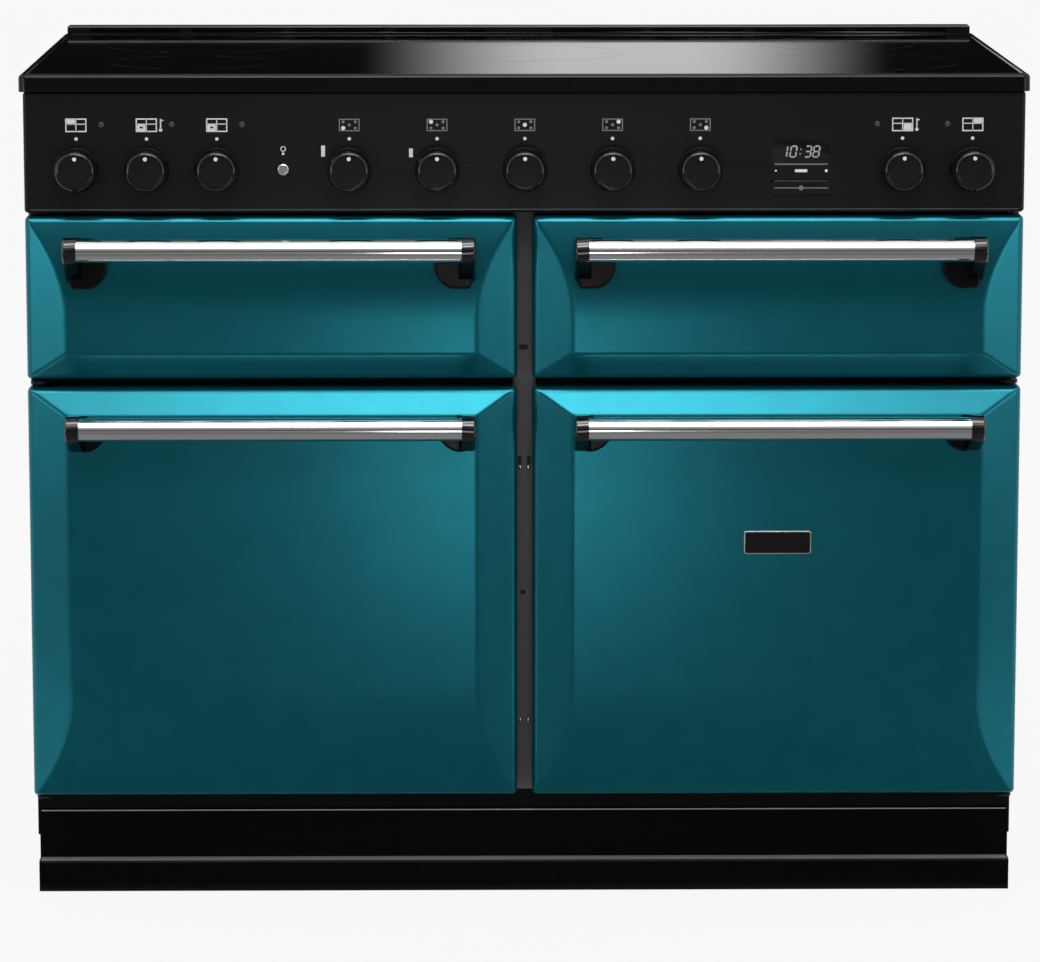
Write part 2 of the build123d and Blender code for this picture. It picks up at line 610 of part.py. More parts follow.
def bracket_arm(middle_x, end, bar_z, foot):
    """One arm: it hangs below the bar, and its inner flank flares out to the foot in a hollow curve."""
    outer_x = middle_x + end * HANDLE_SPAN / 2
    neck_x = outer_x - end * BRACKET_WIDTH
    foot_x = outer_x - end * BRACKET_FOOT_WIDTH
    nose_y = BAR_Y - BAR_DIAMETER / 2 - BRACKET_WALL
    neck_y = BAR_Y + BAR_DIAMETER / 2 + BRACKET_NECK
    foot_y = FRONT_Y + BRACKET_FOOT_DEPTH
    foot_low = bar_z + BRACKET_FOOT_TOP - foot
    with BuildPart() as arm:
        with BuildSketch(Plane.YZ.offset(outer_x)):
            with Locations((BAR_Y, bar_z)):
                Circle(BAR_DIAMETER / 2 + BRACKET_WALL)
            with Locations((FRONT_Y, foot_low)):
                Rectangle(BRACKET_FOOT_DEPTH, foot, align=(Align.MIN, Align.MIN))
            make_hull()
        extrude(amount=-end * BRACKET_FOOT_WIDTH)
        outer_face = arm.faces().filter_by(Plane.YZ).sort_by(Axis.X)[0 if end < 0 else -1]
        fillet(outer_face.edges().sort_by(Axis.Y)[:-1], BRACKET_ROUND)
        with BuildSketch(Plane.XY.offset(bar_z - foot)):
            with BuildLine():
                Polyline(
                    (neck_x, neck_y),
                    (neck_x, nose_y - PRISM_SPARE),
                    (outer_x + end * PRISM_SPARE, nose_y - PRISM_SPARE),
                    (outer_x + end * PRISM_SPARE, foot_y + PRISM_SPARE),
                    (foot_x, foot_y + PRISM_SPARE),
                    (foot_x, FRONT_Y),
                )
                TangentArc((neck_x, neck_y), (foot_x, FRONT_Y), tangent=(0, 1))
            make_face()
        extrude(amount=2 * foot, mode=Mode.INTERSECT)
        with BuildSketch(front_plane(nose_y - PRISM_SPARE)) as outline:
            with Locations(((outer_x + foot_x) / 2, foot_low)):
                Rectangle(BRACKET_FOOT_WIDTH, 2 * foot, align=(Align.CENTER, Align.MIN))
            fillet(outline.vertices().sort_by(Axis.Z)[:2], BRACKET_FOOT_CORNER)
        extrude(amount=-(foot_y - nose_y + 2 * PRISM_SPARE), mode=Mode.INTERSECT)
    return arm.part


for name, side, bottom, height, arc, handle_drop, swings in DOORS:
    middle_x = side * COLUMN_X
    middle_z = bottom + height / 2
    bar_z = bottom + height - handle_drop
    outer_form = door_form(side, bottom, height, arc, 0)
    inner_form = door_form(side, bottom, height, arc, DOOR_SHEET)

    # Door skin: an enamelled pressing with a return flange and bosses for the hinge pins
    with BuildPart() as skin:
        add(outer_form)
        add(inner_form, mode=Mode.SUBTRACT)
        with BuildSketch(front_plane(SKIN_BACK_Y)):
            with Locations((middle_x, middle_z)):
                RectangleRounded(DOOR_WIDTH - 2 * DOOR_FLANGE, height - 2 * DOOR_FLANGE, DOOR_CORNER)
        extrude(amount=2 * DOOR_SHEET, mode=Mode.SUBTRACT)
        if swings:
            boss_length = PIN_SEAT + DOOR_SHEET
            for boss_z in (bottom + DOOR_SHEET, bottom + height - DOOR_SHEET - boss_length):
                with BuildSketch(Plane.XY.offset(boss_z)):
                    with Locations((side * PIVOT_X, PIVOT_Y)):
                        Circle(HINGE_BOSS)
                extrude(amount=boss_length)
            bore_length = PIN_SEAT + DOOR_SHEET
            for bore_z in (bottom, bottom + height - bore_length):
                with BuildSketch(Plane.XY.offset(bore_z)):
                    with Locations((side * PIVOT_X, PIVOT_Y)):
                        Circle(PIN_RADIUS + RUN_FIT)
                extrude(amount=bore_length, mode=Mode.SUBTRACT)
    skin.part.label = f"{name}_door_skin"
    export_step(skin.part, f"parts/{name}_door_skin.step")

    # Door inner panel: a rim on the skin's flange and a plug that reaches into the oven mouth
    cavity_height = height - 2 * (UPPER_CAVITY_MARGIN if arc == UPPER_ARC else LOWER_CAVITY_MARGIN)
    plug_width = CAVITY_WIDTH - 2 * PLUG_CLEARANCE
    plug_height = cavity_height - 2 * PLUG_CLEARANCE
    with BuildPart() as inner_panel:
        with BuildSketch(front_plane(SKIN_BACK_Y)):
            with Locations((middle_x, middle_z)):
                RectangleRounded(DOOR_WIDTH - 2 * LINER_INSET, height - 2 * LINER_INSET, DOOR_CORNER)
        extrude(amount=-LINER_PLATE)
        with BuildSketch(front_plane(LINER_BACK_Y)):
            with Locations((middle_x, middle_z)):
                RectangleRounded(plug_width, plug_height, CAVITY_CORNER)
        extrude(amount=-PLUG_PROUD)
        plug_back = inner_panel.faces().sort_by(Axis.Y)[-1]
        fillet(plug_back.edges(), PLUG_ROUND)
        with BuildSketch(front_plane(SKIN_BACK_Y)):
            with Locations((middle_x, middle_z)):
                pocket_inset = 2 * DOOR_SHEET + PLUG_ROUND
                RectangleRounded(plug_width - 2 * pocket_inset, plug_height - 2 * pocket_inset, DOOR_CORNER)
        extrude(amount=-(LINER_PLATE + PLUG_PROUD - DOOR_SHEET), mode=Mode.SUBTRACT)
    inner_panel.part.label = f"{name}_door_inner_panel"
    export_step(inner_panel.part, f"parts/{name}_door_inner_panel.step")

    # Handle bar: a plated tube held between two brackets
    bar_length = HANDLE_SPAN - 2 * (BRACKET_WIDTH - BRACKET_SEAT) - 2 * SEAT_FIT
    with BuildPart() as handle_bar:
        with BuildSketch(Plane.YZ.offset(middle_x - bar_length / 2)):
            with Locations((BAR_Y, bar_z)):
                Circle(BAR_DIAMETER / 2)
                Circle(BAR_DIAMETER / 2 - BAR_WALL, mode=Mode.SUBTRACT)
        extrude(amount=bar_length)
    handle_bar.part.label = f"{name}_handle_bar"
    export_step(handle_bar.part, f"parts/{name}_handle_bar.step")

    # Handle brackets: moulded arms that cap the bar and spread to a foot on the door
    foot = UPPER_BRACKET_FOOT if arc == UPPER_ARC else LOWER_BRACKET_FOOT
    left_arm = bracket_arm(middle_x, -1, bar_z, foot)
    right_arm = bracket_arm(middle_x, 1, bar_z, foot)
    with BuildPart() as brackets:
        add(left_arm)
        add(right_arm)
        bore_length = HANDLE_SPAN - 2 * (BRACKET_WIDTH - BRACKET_SEAT)
        with BuildSketch(Plane.YZ.offset(middle_x - bore_length / 2)):
            with Locations((BAR_Y, bar_z)):
                Circle(BAR_DIAMETER / 2 + SEAT_FIT)
        extrude(amount=bore_length, mode=Mode.SUBTRACT)
        with Locations((0, -SEAT_FIT, 0)):
            add(outer_form, mode=Mode.SUBTRACT)
    brackets.part.label = f"{name}_handle_brackets"
    export_step(brackets.part, f"parts/{name}_handle_brackets.step")

# Fascia: a folded panel, open at the back, pierced for every control
knob_end = HALF_BODY - OVEN_KNOB_INSET
LEFT_OVEN_KNOBS = tuple(-knob_end + n * OVEN_KNOB_PITCH for n in range(3))
HOB_KNOBS = tuple(n * HOB_KNOB_PITCH for n in (-2, -1, 0, 1, 2))
RIGHT_OVEN_KNOBS = (knob_end - OVEN_KNOB_PITCH, knob_end)
KNOB_PLACES = LEFT_OVEN_KNOBS + HOB_KNOBS + RIGHT_OVEN_KNOBS
LAMP_PLACES = tuple(x + LAMP_OFFSET for x in LEFT_OVEN_KNOBS) + tuple(x - LAMP_OFFSET for x in RIGHT_OVEN_KNOBS)
button_x = (LEFT_OVEN_KNOBS[-1] + HOB_KNOBS[0]) / 2
clock_x = (HOB_KNOBS[-1] + RIGHT_OVEN_KNOBS[0]) / 2
lamp_z = FASCIA_BOTTOM + LAMP_RISE
clock_z = FASCIA_BOTTOM + CLOCK_RISE
rocker_z = FASCIA_BOTTOM + ROCKER_RISE
with BuildPart() as fascia:
    with BuildSketch(front_plane(FRONT_Y)):
        with Locations((0, FASCIA_BOTTOM + FASCIA_HEIGHT / 2)):
            RectangleRounded(BODY_WIDTH, FASCIA_HEIGHT, FASCIA_ROUND)
    extrude(amount=-(FRAME_Y - FRONT_Y))
    front_face = fascia.faces().sort_by(Axis.Y)[0]
    fillet(front_face.edges(), FASCIA_EDGE)
    back_face = fascia.faces().sort_by(Axis.Y)[-1]
    offset(amount=-FASCIA_SHEET, openings=back_face)
    with BuildSketch(front_plane(FRONT_Y)):
        with Locations(*[(x, KNOB_Z) for x in KNOB_PLACES]):
            Circle(SPINDLE_RADIUS + HOLE_FIT)
        with Locations(*[(x, lamp_z) for x in LAMP_PLACES]):
            Circle(LAMP_RADIUS + SEAT_FIT)
        with Locations((button_x, KNOB_Z)):
            Circle(BUTTON_RADIUS + RUN_FIT)
        with Locations((clock_x, clock_z)):
            Rectangle(CLOCK_WIDTH + 2 * SEAT_FIT, CLOCK_HEIGHT + 2 * SEAT_FIT)
        with Locations((clock_x, rocker_z)):
            Rectangle(CLOCK_WIDTH + 2 * HOLE_FIT, ROCKER_HEIGHT + 2 * HOLE_FIT)
    extrude(amount=-FASCIA_SHEET, mode=Mode.SUBTRACT)
    with BuildSketch(Plane.XY.offset(FASCIA_BOTTOM)):
        with Locations((PIVOT_X, PIVOT_Y)):
            Circle(PIN_RADIUS + HOLE_FIT)
    extrude(amount=FASCIA_SHEET, mode=Mode.SUBTRACT)
fascia.part.label = "fascia"
export_step(fascia.part, "parts/fascia.step")

# Control switches: a body behind each knob with a bore for its spindle, and the light switch
spindle_end = FASCIA_BACK_Y + SWITCH_DEPTH
button_head_back = FASCIA_BACK_Y + BUTTON_SHOULDER
light_switch_y = button_head_back + BUTTON_TRAVEL + BUTTON_SHOULDER
with BuildPart() as control_switches:
    with BuildSketch(front_plane(FASCIA_BACK_Y)):
        with Locations(*[(x, KNOB_Z) for x in KNOB_PLACES]):
            RectangleRounded(SWITCH_WIDTH, SWITCH_WIDTH, SWITCH_CORNER)
            Circle(SPINDLE_RADIUS + RUN_FIT, mode=Mode.SUBTRACT)
    extrude(amount=-SWITCH_DEPTH)
    with BuildSketch(front_plane(FASCIA_BACK_Y)):
        with Locations((button_x, KNOB_Z)):
            Circle(SWITCH_WIDTH / 2)
            Circle(BUTTON_RADIUS + HOLE_FIT, mode=Mode.SUBTRACT)
    extrude(amount=-(light_switch_y - FASCIA_BACK_Y))
    with BuildSketch(front_plane(light_switch_y)):
        with Locations((button_x, KNOB_Z)):
            Circle(SWITCH_WIDTH / 2)
            Circle(BUTTON_STEM_RADIUS + RUN_FIT, mode=Mode.SUBTRACT)
    extrude(amount=-SWITCH_DEPTH)
control_switches.part.label = "control_switches"
export_step(control_switches.part, "parts/control_switches.step")

# Knobs: a turned cap with a dished face on its own spindle
KNOB_NAMES = (
    "grill_knob",
    "left_oven_heat_knob",
    "left_oven_mode_knob",
    "front_left_zone_knob",
    "rear_left_zone_knob",
    "centre_zone_knob",
    "rear_right_zone_knob",
    "front_right_zone_knob",
    "right_oven_heat_knob",
    "slow_oven_knob",
)
knob_base = FRONT_Y - KNOB_GAP
knob_face = knob_base - KNOB_LENGTH
for name, x in zip(KNOB_NAMES, KNOB_PLACES):
    with BuildPart() as knob:
        with BuildSketch(Plane.XY.offset(KNOB_Z)) as section:
            with BuildLine():
                Polyline(
                    (x, knob_base - SPINDLE_SEAT),
                    (x + SPINDLE_RADIUS + SEAT_FIT, knob_base - SPINDLE_SEAT),
                    (x + SPINDLE_RADIUS + SEAT_FIT, knob_base),
                    (x + KNOB_RADIUS, knob_base),
                    (x + KNOB_RADIUS, knob_base - KNOB_SKIRT),
                    (x + KNOB_FACE_RADIUS, knob_face),
                )
                dish = (x, knob_face + KNOB_DISH)
                TangentArc(dish, (x + KNOB_FACE_RADIUS, knob_face), tangent=(1, 0))
                Line(dish, (x, knob_base - SPINDLE_SEAT))
            make_face()
            face_edge = section.vertices().sort_by(Axis.Y)[0]
            fillet(face_edge, KNOB_ROUND)
        revolve(axis=Axis((x, 0, KNOB_Z), (0, 1, 0)))
        with BuildSketch(front_plane(knob_base - SPINDLE_SEAT + SEAT_FIT)):
            with Locations((x, KNOB_Z)):
                Circle(SPINDLE_RADIUS)
        extrude(amount=-(spindle_end - knob_base + SPINDLE_SEAT - SEAT_FIT))
    knob.part.label = name
    export_step(knob.part, f"parts/{name}.step")

# Indicator lamps: small domed lenses on a plain body behind the fascia
with BuildPart() as indicator_lamps:
    with BuildSketch(front_plane(FRONT_Y - LAMP_PROUD)):
        with Locations(*[(x, lamp_z) for x in LAMP_PLACES]):
            Circle(LAMP_RADIUS)
    extrude(amount=-(LAMP_PROUD + FASCIA_SHEET))
    lens_fronts = indicator_lamps.faces().filter_by(Plane.XZ).group_by(Axis.Y)[0]
    fillet(lens_fronts.edges(), LAMP_PROUD)
    with BuildSketch(front_plane(FASCIA_BACK_Y)):
        with Locations(*[(x, lamp_z) for x in LAMP_PLACES]):
            Circle(LAMP_BODY_RADIUS)
    extrude(amount=-LAMP_BODY_LENGTH)
indicator_lamps.part.label = "indicator_lamps"
export_step(indicator_lamps.part, "parts/indicator_lamps.step")

# Light button: a domed cap on a stem that slides in the light switch
with BuildPart() as light_button:
    with BuildSketch(front_plane(FRONT_Y - BUTTON_PROUD)):
        with Locations((button_x, KNOB_Z)):
            Circle(BUTTON_RADIUS)
    extrude(amount=-(button_head_back - FRONT_Y + BUTTON_PROUD))
    cap_front = light_button.faces().sort_by(Axis.Y)[0]
    fillet(cap_front.edges(), BUTTON_PROUD / 2)
    with BuildSketch(front_plane(button_head_back)):
        with Locations((button_x, KNOB_Z)):
            Circle(BUTTON_STEM_RADIUS)
    extrude(amount=-BUTTON_STEM_LENGTH)
light_button.part.label = "light_button"
export_step(light_button.part, "parts/light_button.step")

# Clock module: a body behind the fascia with its window, and a pocket that holds the rocker
module_top = clock_z + CLOCK_HEIGHT / 2 + CLOCK_BODY_MARGIN
module_bottom = rocker_z - ROCKER_HEIGHT / 2 - CLOCK_BODY_MARGIN
pin_y = FRONT_Y + ROCKER_PIN_SETBACK
pin_half = ROCKER_HEIGHT / 2 + HOLE_FIT + ROCKER_PIN_SEAT
with BuildPart() as clock_module:
    with BuildSketch(front_plane(FASCIA_BACK_Y)):
        with Locations((clock_x, (module_top + module_bottom) / 2)):
            Rectangle(CLOCK_WIDTH + 2 * CLOCK_BODY_MARGIN, module_top - module_bottom)
    extrude(amount=-CLOCK_BODY_DEPTH)
    with BuildSketch(front_plane(FRONT_Y)):
        with Locations((clock_x, clock_z)):
            Rectangle(CLOCK_WIDTH, CLOCK_HEIGHT)
    extrude(amount=-FASCIA_SHEET)
    with BuildSketch(front_plane(FASCIA_BACK_Y)):
        with Locations((clock_x, rocker_z)):
            Rectangle(CLOCK_WIDTH + 2 * HOLE_FIT, ROCKER_HEIGHT + 2 * HOLE_FIT)
    extrude(amount=-ROCKER_POCKET, mode=Mode.SUBTRACT)
    with BuildSketch(Plane.XY.offset(rocker_z - pin_half - SEAT_FIT)):
        with Locations((clock_x, pin_y)):
            Circle(ROCKER_PIN_RADIUS + RUN_FIT)
    extrude(amount=2 * (pin_half + SEAT_FIT), mode=Mode.SUBTRACT)
clock_module.part.label = "clock_module"
export_step(clock_module.part, "parts/clock_module.step")

# Clock rocker: a bar pressed at either end, with a raised pip, turning on an upright pin
with BuildPart() as clock_rocker:
    with BuildSketch(front_plane(FRONT_Y - ROCKER_PROUD)):
        with Locations((clock_x, rocker_z)):
            RectangleRounded(CLOCK_WIDTH, ROCKER_HEIGHT, ROCKER_PROUD)
    extrude(amount=-ROCKER_PLATE)
    bar_front = clock_rocker.faces().sort_by(Axis.Y)[0]
    fillet(bar_front.edges(), ROCKER_PROUD / 3)
    with BuildSketch(front_plane(FRONT_Y - ROCKER_PROUD)):
        with Locations((clock_x, rocker_z)):
            Rectangle(ROCKER_PIP, ROCKER_PIP)
    extrude(amount=ROCKER_PIP_PROUD)
    with BuildSketch(Plane.XY.offset(rocker_z - ROCKER_HEIGHT / 2)):
        with Locations((clock_x, FRONT_Y)):
            Rectangle(2 * ROCKER_PIN_RADIUS, ROCKER_PIN_SETBACK, align=(Align.CENTER, Align.MIN))
        with Locations((clock_x, pin_y)):
            Circle(2 * ROCKER_PIN_RADIUS)
    extrude(amount=ROCKER_HEIGHT)
    with BuildSketch(Plane.XY.offset(rocker_z - pin_half)):
        with Locations((clock_x, pin_y)):
            Circle(ROCKER_PIN_RADIUS)
    extrude(amount=2 * pin_half)
clock_rocker.part.label = "clock_rocker"
export_step(clock_rocker.part, "parts/clock_rocker.step")

# Hob surround: a folded tray with a rounded rim, a ledge for the glass and ports to the vent
hob_front = FRONT_Y - HOB_OVERHANG
hob_middle = (hob_front + REAR_Y) / 2
glass_front = hob_front + HOB_RIM
glass_back = REAR_Y - VENT_DEPTH - GLASS_GAP
glass_middle = (glass_front + glass_back) / 2
glass_width = HOB_WIDTH - 2 * HOB_RIM
glass_depth = glass_back - glass_front
glass_bottom = HOB_HEIGHT - GLASS_THICKNESS
well_width = glass_width - 2 * GLASS_LEDGE
well_depth = glass_depth - 2 * GLASS_LEDGE
slot_run = HOB_WIDTH / 2 - VENT_END - SLOT_END - SLOT_CENTRE_BAR / 2
slot_pitch = (slot_run + SLOT_BRIDGE) / SLOTS_A_SIDE
slot_length = slot_pitch - SLOT_BRIDGE
slot_start = (SLOT_CENTRE_BAR + slot_length) / 2
SLOT_PLACES = tuple(
    sign * (slot_start + n * slot_pitch) for sign in (-1, 1) for n in range(SLOTS_A_SIDE)
)
vent_middle = REAR_Y - VENT_DEPTH / 2
with BuildPart() as hob_surround:
    with BuildSketch(Plane.XY.offset(RIM_BOTTOM)):
        with Locations((0, hob_middle)):
            RectangleRounded(HOB_WIDTH, REAR_Y - hob_front, HOB_CORNER)
    extrude(amount=HOB_EDGE)
    rim_top = hob_surround.faces().sort_by(Axis.Z)[-1]
    fillet(rim_top.edges().sort_by(Axis.Y)[:-1], HOB_ROUND)
    with BuildSketch(Plane.XY.offset(glass_bottom)):
        with Locations((0, glass_middle)):
            RectangleRounded(glass_width, glass_depth, GLASS_CORNER)
    extrude(amount=GLASS_THICKNESS, mode=Mode.SUBTRACT)
    with BuildSketch(Plane.XY.offset(TRAY_FLOOR)):
        with Locations((0, glass_middle)):
            Rectangle(well_width, well_depth)
    extrude(amount=glass_bottom - TRAY_FLOOR, mode=Mode.SUBTRACT)
    with BuildSketch(Plane.XY.offset(RIM_BOTTOM)):
        with Locations((0, hob_middle)):
            RectangleRounded(
                HOB_WIDTH - 2 * HOB_SHEET,
                REAR_Y - hob_front - 2 * HOB_SHEET,
                HOB_CORNER - HOB_SHEET,
            )
        with Locations((0, glass_middle)):
            Rectangle(well_width + 2 * HOB_SHEET, well_depth + 2 * HOB_SHEET, mode=Mode.SUBTRACT)
    extrude(amount=glass_bottom - HOB_SHEET - RIM_BOTTOM, mode=Mode.SUBTRACT)
    with BuildSketch(Plane.XY.offset(RIM_BOTTOM)):
        with Locations(*[(x, vent_middle) for x in SLOT_PLACES]):
            SlotOverall(slot_length, VENT_DEPTH / 2)
    extrude(amount=HOB_EDGE, mode=Mode.SUBTRACT)
hob_surround.part.label = "hob_surround"
export_step(hob_surround.part, "parts/hob_surround.step")

# Hob glass: a flat plate with softened edges, sunk in the rim
with BuildPart() as hob_glass:
    with BuildSketch(Plane.XY.offset(glass_bottom)):
        with Locations((0, glass_middle)):
            RectangleRounded(glass_width - 2 * GLASS_GAP, glass_depth - 2 * GLASS_GAP, GLASS_CORNER)
    extrude(amount=GLASS_THICKNESS)
    glass_top = hob_glass.faces().sort_by(Axis.Z)[-1]
    fillet(glass_top.edges(), GLASS_ROUND)
hob_glass.part.label = "hob_glass"
export_step(hob_glass.part, "parts/hob_glass.step")

# Rear vent: a hollow trim along the back of the hob with slots in its front wall
with BuildPart() as rear_vent:
    with BuildSketch(Plane.XY.offset(HOB_HEIGHT)):
        with Locations((0, vent_middle)):
            Rectangle(HOB_WIDTH - 2 * VENT_END, VENT_DEPTH)
    extrude(amount=VENT_RISE)
    vent_top = rear_vent.faces().sort_by(Axis.Z)[-1]
    fillet(vent_top.edges(), VENT_ROUND)
    vent_under = rear_vent.faces().sort_by(Axis.Z)[0]
    offset(amount=-VENT_SHEET, openings=vent_under)
    with BuildSketch(front_plane(REAR_Y - VENT_DEPTH)):
        with Locations(*[(x, HOB_HEIGHT + VENT_RISE / 2 - VENT_SHEET / 2) for x in SLOT_PLACES]):
            SlotOverall(slot_length, SLOT_HEIGHT)
    extrude(amount=-VENT_SHEET, mode=Mode.SUBTRACT)
rear_vent.part.label = "rear_vent"
export_step(rear_vent.part, "parts/rear_vent.step")

# Induction coils: a flat ring on a carrier that stands on the tray under each zone
zone_x = well_width / 2 - ZONE_EDGE
ZONES = (
    (-zone_x, -ZONE_Y, SMALL_COIL),
    (-zone_x, ZONE_Y, LARGE_COIL),
    (0, 0, LARGE_COIL),
    (zone_x, ZONE_Y, SMALL_COIL),
    (zone_x, -ZONE_Y, LARGE_COIL),
)
with BuildPart() as induction_coils:
    for coil_x, coil_y, coil in ZONES:
        with BuildSketch(Plane.XY.offset(TRAY_FLOOR)):
            with Locations((coil_x, glass_middle + coil_y)):
                Circle(COIL_CARRIER)
                Circle(COIL_BORE, mode=Mode.SUBTRACT)
        extrude(amount=glass_bottom - TRAY_FLOOR)
        with BuildSketch(Plane.XY.offset(glass_bottom - COIL_THICKNESS)):
            with Locations((coil_x, glass_middle + coil_y)):
                Circle(coil)
                Circle(COIL_BORE, mode=Mode.SUBTRACT)
        extrude(amount=COIL_THICKNESS)
induction_coils.part.label = "induction_coils"
export_step(induction_coils.part, "parts/induction_coils.step")

# Power modules: the coil drivers, in two boxes hung under the hob tray
with BuildPart() as power_modules:
    with BuildSketch(Plane.XY.offset(RIM_BOTTOM)):
        with Locations((-COLUMN_X, glass_middle), (COLUMN_X, glass_middle)):
            RectangleRounded(MODULE_WIDTH, MODULE_DEPTH, MODULE_CORNER)
    extrude(amount=-MODULE_HEIGHT)
    with BuildSketch(Plane.XY.offset(RIM_BOTTOM - MODULE_SHEET)):
        with Locations((-COLUMN_X, glass_middle), (COLUMN_X, glass_middle)):
            Rectangle(MODULE_WIDTH - 2 * MODULE_SHEET, MODULE_DEPTH)
    extrude(amount=-(MODULE_HEIGHT - 2 * MODULE_SHEET), mode=Mode.SUBTRACT)
power_modules.part.label = "power_modules"
export_step(power_modules.part, "parts/power_modules.step")

# Plinth: a kick panel on the floor line and a second panel set back above its ledge
kick_y = FRONT_Y + PLINTH_SETBACK
plinth_y = kick_y + PLINTH_STEP
# Each panel: front, lowest point, top and depth
PLINTH_PANELS = (
    (kick_y, PLINTH_FLOOR_GAP, PLINTH_LEDGE, FRAME_Y - kick_y),
    (plinth_y, PLINTH_LEDGE + SEAT_FIT, PLINTH_TOP, FRAME_Y - plinth_y),
)
with BuildPart() as plinth_panels:
    for panel_y, panel_bottom, panel_top, panel_depth in PLINTH_PANELS:
        with BuildSketch(Plane.YZ.offset(-PLINTH_WIDTH / 2)) as section:
            with Locations((panel_y, panel_bottom)):
                Rectangle(panel_depth, panel_top - panel_bottom, align=(Align.MIN, Align.MIN))
            top_corner = section.vertices().group_by(Axis.X)[0].sort_by(Axis.Y)[-1]
            fillet(top_corner, PLINTH_ROUND)
        extrude(amount=PLINTH_WIDTH)
    for panel_y, panel_bottom, panel_top, panel_depth in PLINTH_PANELS:
        with BuildSketch(Plane.YZ.offset(PLINTH_SHEET - PLINTH_WIDTH / 2)) as section:
            with Locations((panel_y + PLINTH_SHEET, panel_bottom)):
                hollow = panel_top - panel_bottom - PLINTH_SHEET
                Rectangle(panel_depth, hollow, align=(Align.MIN, Align.MIN))
            top_corner = section.vertices().group_by(Axis.X)[0].sort_by(Axis.Y)[-1]
            fillet(top_corner, PLINTH_ROUND - PLINTH_SHEET)
        extrude(amount=PLINTH_WIDTH - 2 * PLINTH_SHEET, mode=Mode.SUBTRACT)
plinth_panels.part.label = "plinth_panels"
export_step(plinth_panels.part, "parts/plinth_panels.step")

# Heating elements: the looped grill rod, the slow oven loop and a ring around each fan
grill_z = UPPER_CAVITY_BOTTOM + UPPER_CAVITY_HEIGHT - GRILL_ELEMENT_DROP
slow_z = UPPER_CAVITY_BOTTOM + SLOW_ELEMENT_RISE
element_back = CAVITY_BACK_Y + LINER_SHEET + INSULATION
run_front = FRAME_BACK_Y + GRILL_RUN_INSET
run_back = CAVITY_BACK_Y - GRILL_RUN_INSET
ring_y = CAVITY_BACK_Y - BAFFLE_DEPTH / 2
grill_points = []
for n in range(GRILL_RUNS):
    run_x = n * GRILL_RUN_PITCH - GRILL_REACH
    far_end = element_back if n in (0, GRILL_RUNS - 1) else run_back
    run_ends = [(run_x, far_end), (run_x, run_front)]
    grill_points += run_ends if n % 2 == 0 else run_ends[::-1]
with BuildPart() as heating_elements:
    with BuildLine(Plane((-COLUMN_X, 0, grill_z))) as grill_path:
        FilletPolyline(*grill_points, radius=ELEMENT_BEND)
    with BuildSketch(front_plane(element_back)):
        with Locations((-COLUMN_X - GRILL_REACH, grill_z)):
            Circle(ELEMENT_RADIUS)
    sweep(path=grill_path.line)
    half_loop = SLOW_ELEMENT_WIDTH / 2
    with BuildLine(Plane((COLUMN_X, 0, slow_z))) as slow_path:
        FilletPolyline(
            (-half_loop, element_back),
            (-half_loop, run_front),
            (half_loop, run_front),
            (half_loop, element_back),
            radius=ELEMENT_BEND,
        )
    with BuildSketch(front_plane(element_back)):
        with Locations((COLUMN_X - half_loop, slow_z)):
            Circle(ELEMENT_RADIUS)
    sweep(path=slow_path.line)
    for side in (-1, 1):
        with BuildSketch(Plane.XY.offset(FAN_Z)):
            with Locations((side * COLUMN_X + RING_RADIUS, ring_y)):
                Circle(ELEMENT_RADIUS)
        revolve(axis=Axis((side * COLUMN_X, 0, FAN_Z), (0, 1, 0)))
        for lead in (-RING_LEAD, RING_LEAD):
            with BuildSketch(front_plane(ring_y)):
                with Locations((side * COLUMN_X + lead, FAN_Z - RING_RADIUS)):
                    Circle(ELEMENT_RADIUS)
            extrude(amount=-(element_back - ring_y))
heating_elements.part.label = "heating_elements"
export_step(heating_elements.part, "parts/heating_elements.step")

# Convection fans: a back plate with radial blades on a hub and the shaft to the motor
motor_front = CAVITY_BACK_Y + LINER_SHEET
shaft_end = motor_front + MOTOR_FLANGE + MOTOR_LENGTH / 2
fan_back = CAVITY_BACK_Y - FAN_GAP
for name, side in (("left_oven_fan", -1), ("right_oven_fan", 1)):
    fan_x = side * COLUMN_X
    with BuildPart() as fan:
        with BuildSketch(front_plane(fan_back)):
            with Locations((fan_x, FAN_Z)):
                Circle(FAN_RADIUS)
        extrude(amount=FAN_PLATE)
        with BuildSketch(front_plane(fan_back)):
            with Locations((fan_x, FAN_Z)):
                Circle(FAN_HUB_RADIUS)
                with PolarLocations(FAN_RADIUS - FAN_BLADE_LENGTH / 2, FAN_BLADES):
                    Rectangle(FAN_BLADE_LENGTH, FAN_PLATE)
        extrude(amount=FAN_BLADE_DEPTH)
        with BuildSketch(front_plane(fan_back)):
            with Locations((fan_x, FAN_Z)):
                Circle(SHAFT_RADIUS)
        extrude(amount=-(shaft_end - fan_back))
    fan.part.label = name
    export_step(fan.part, f"parts/{name}.step")

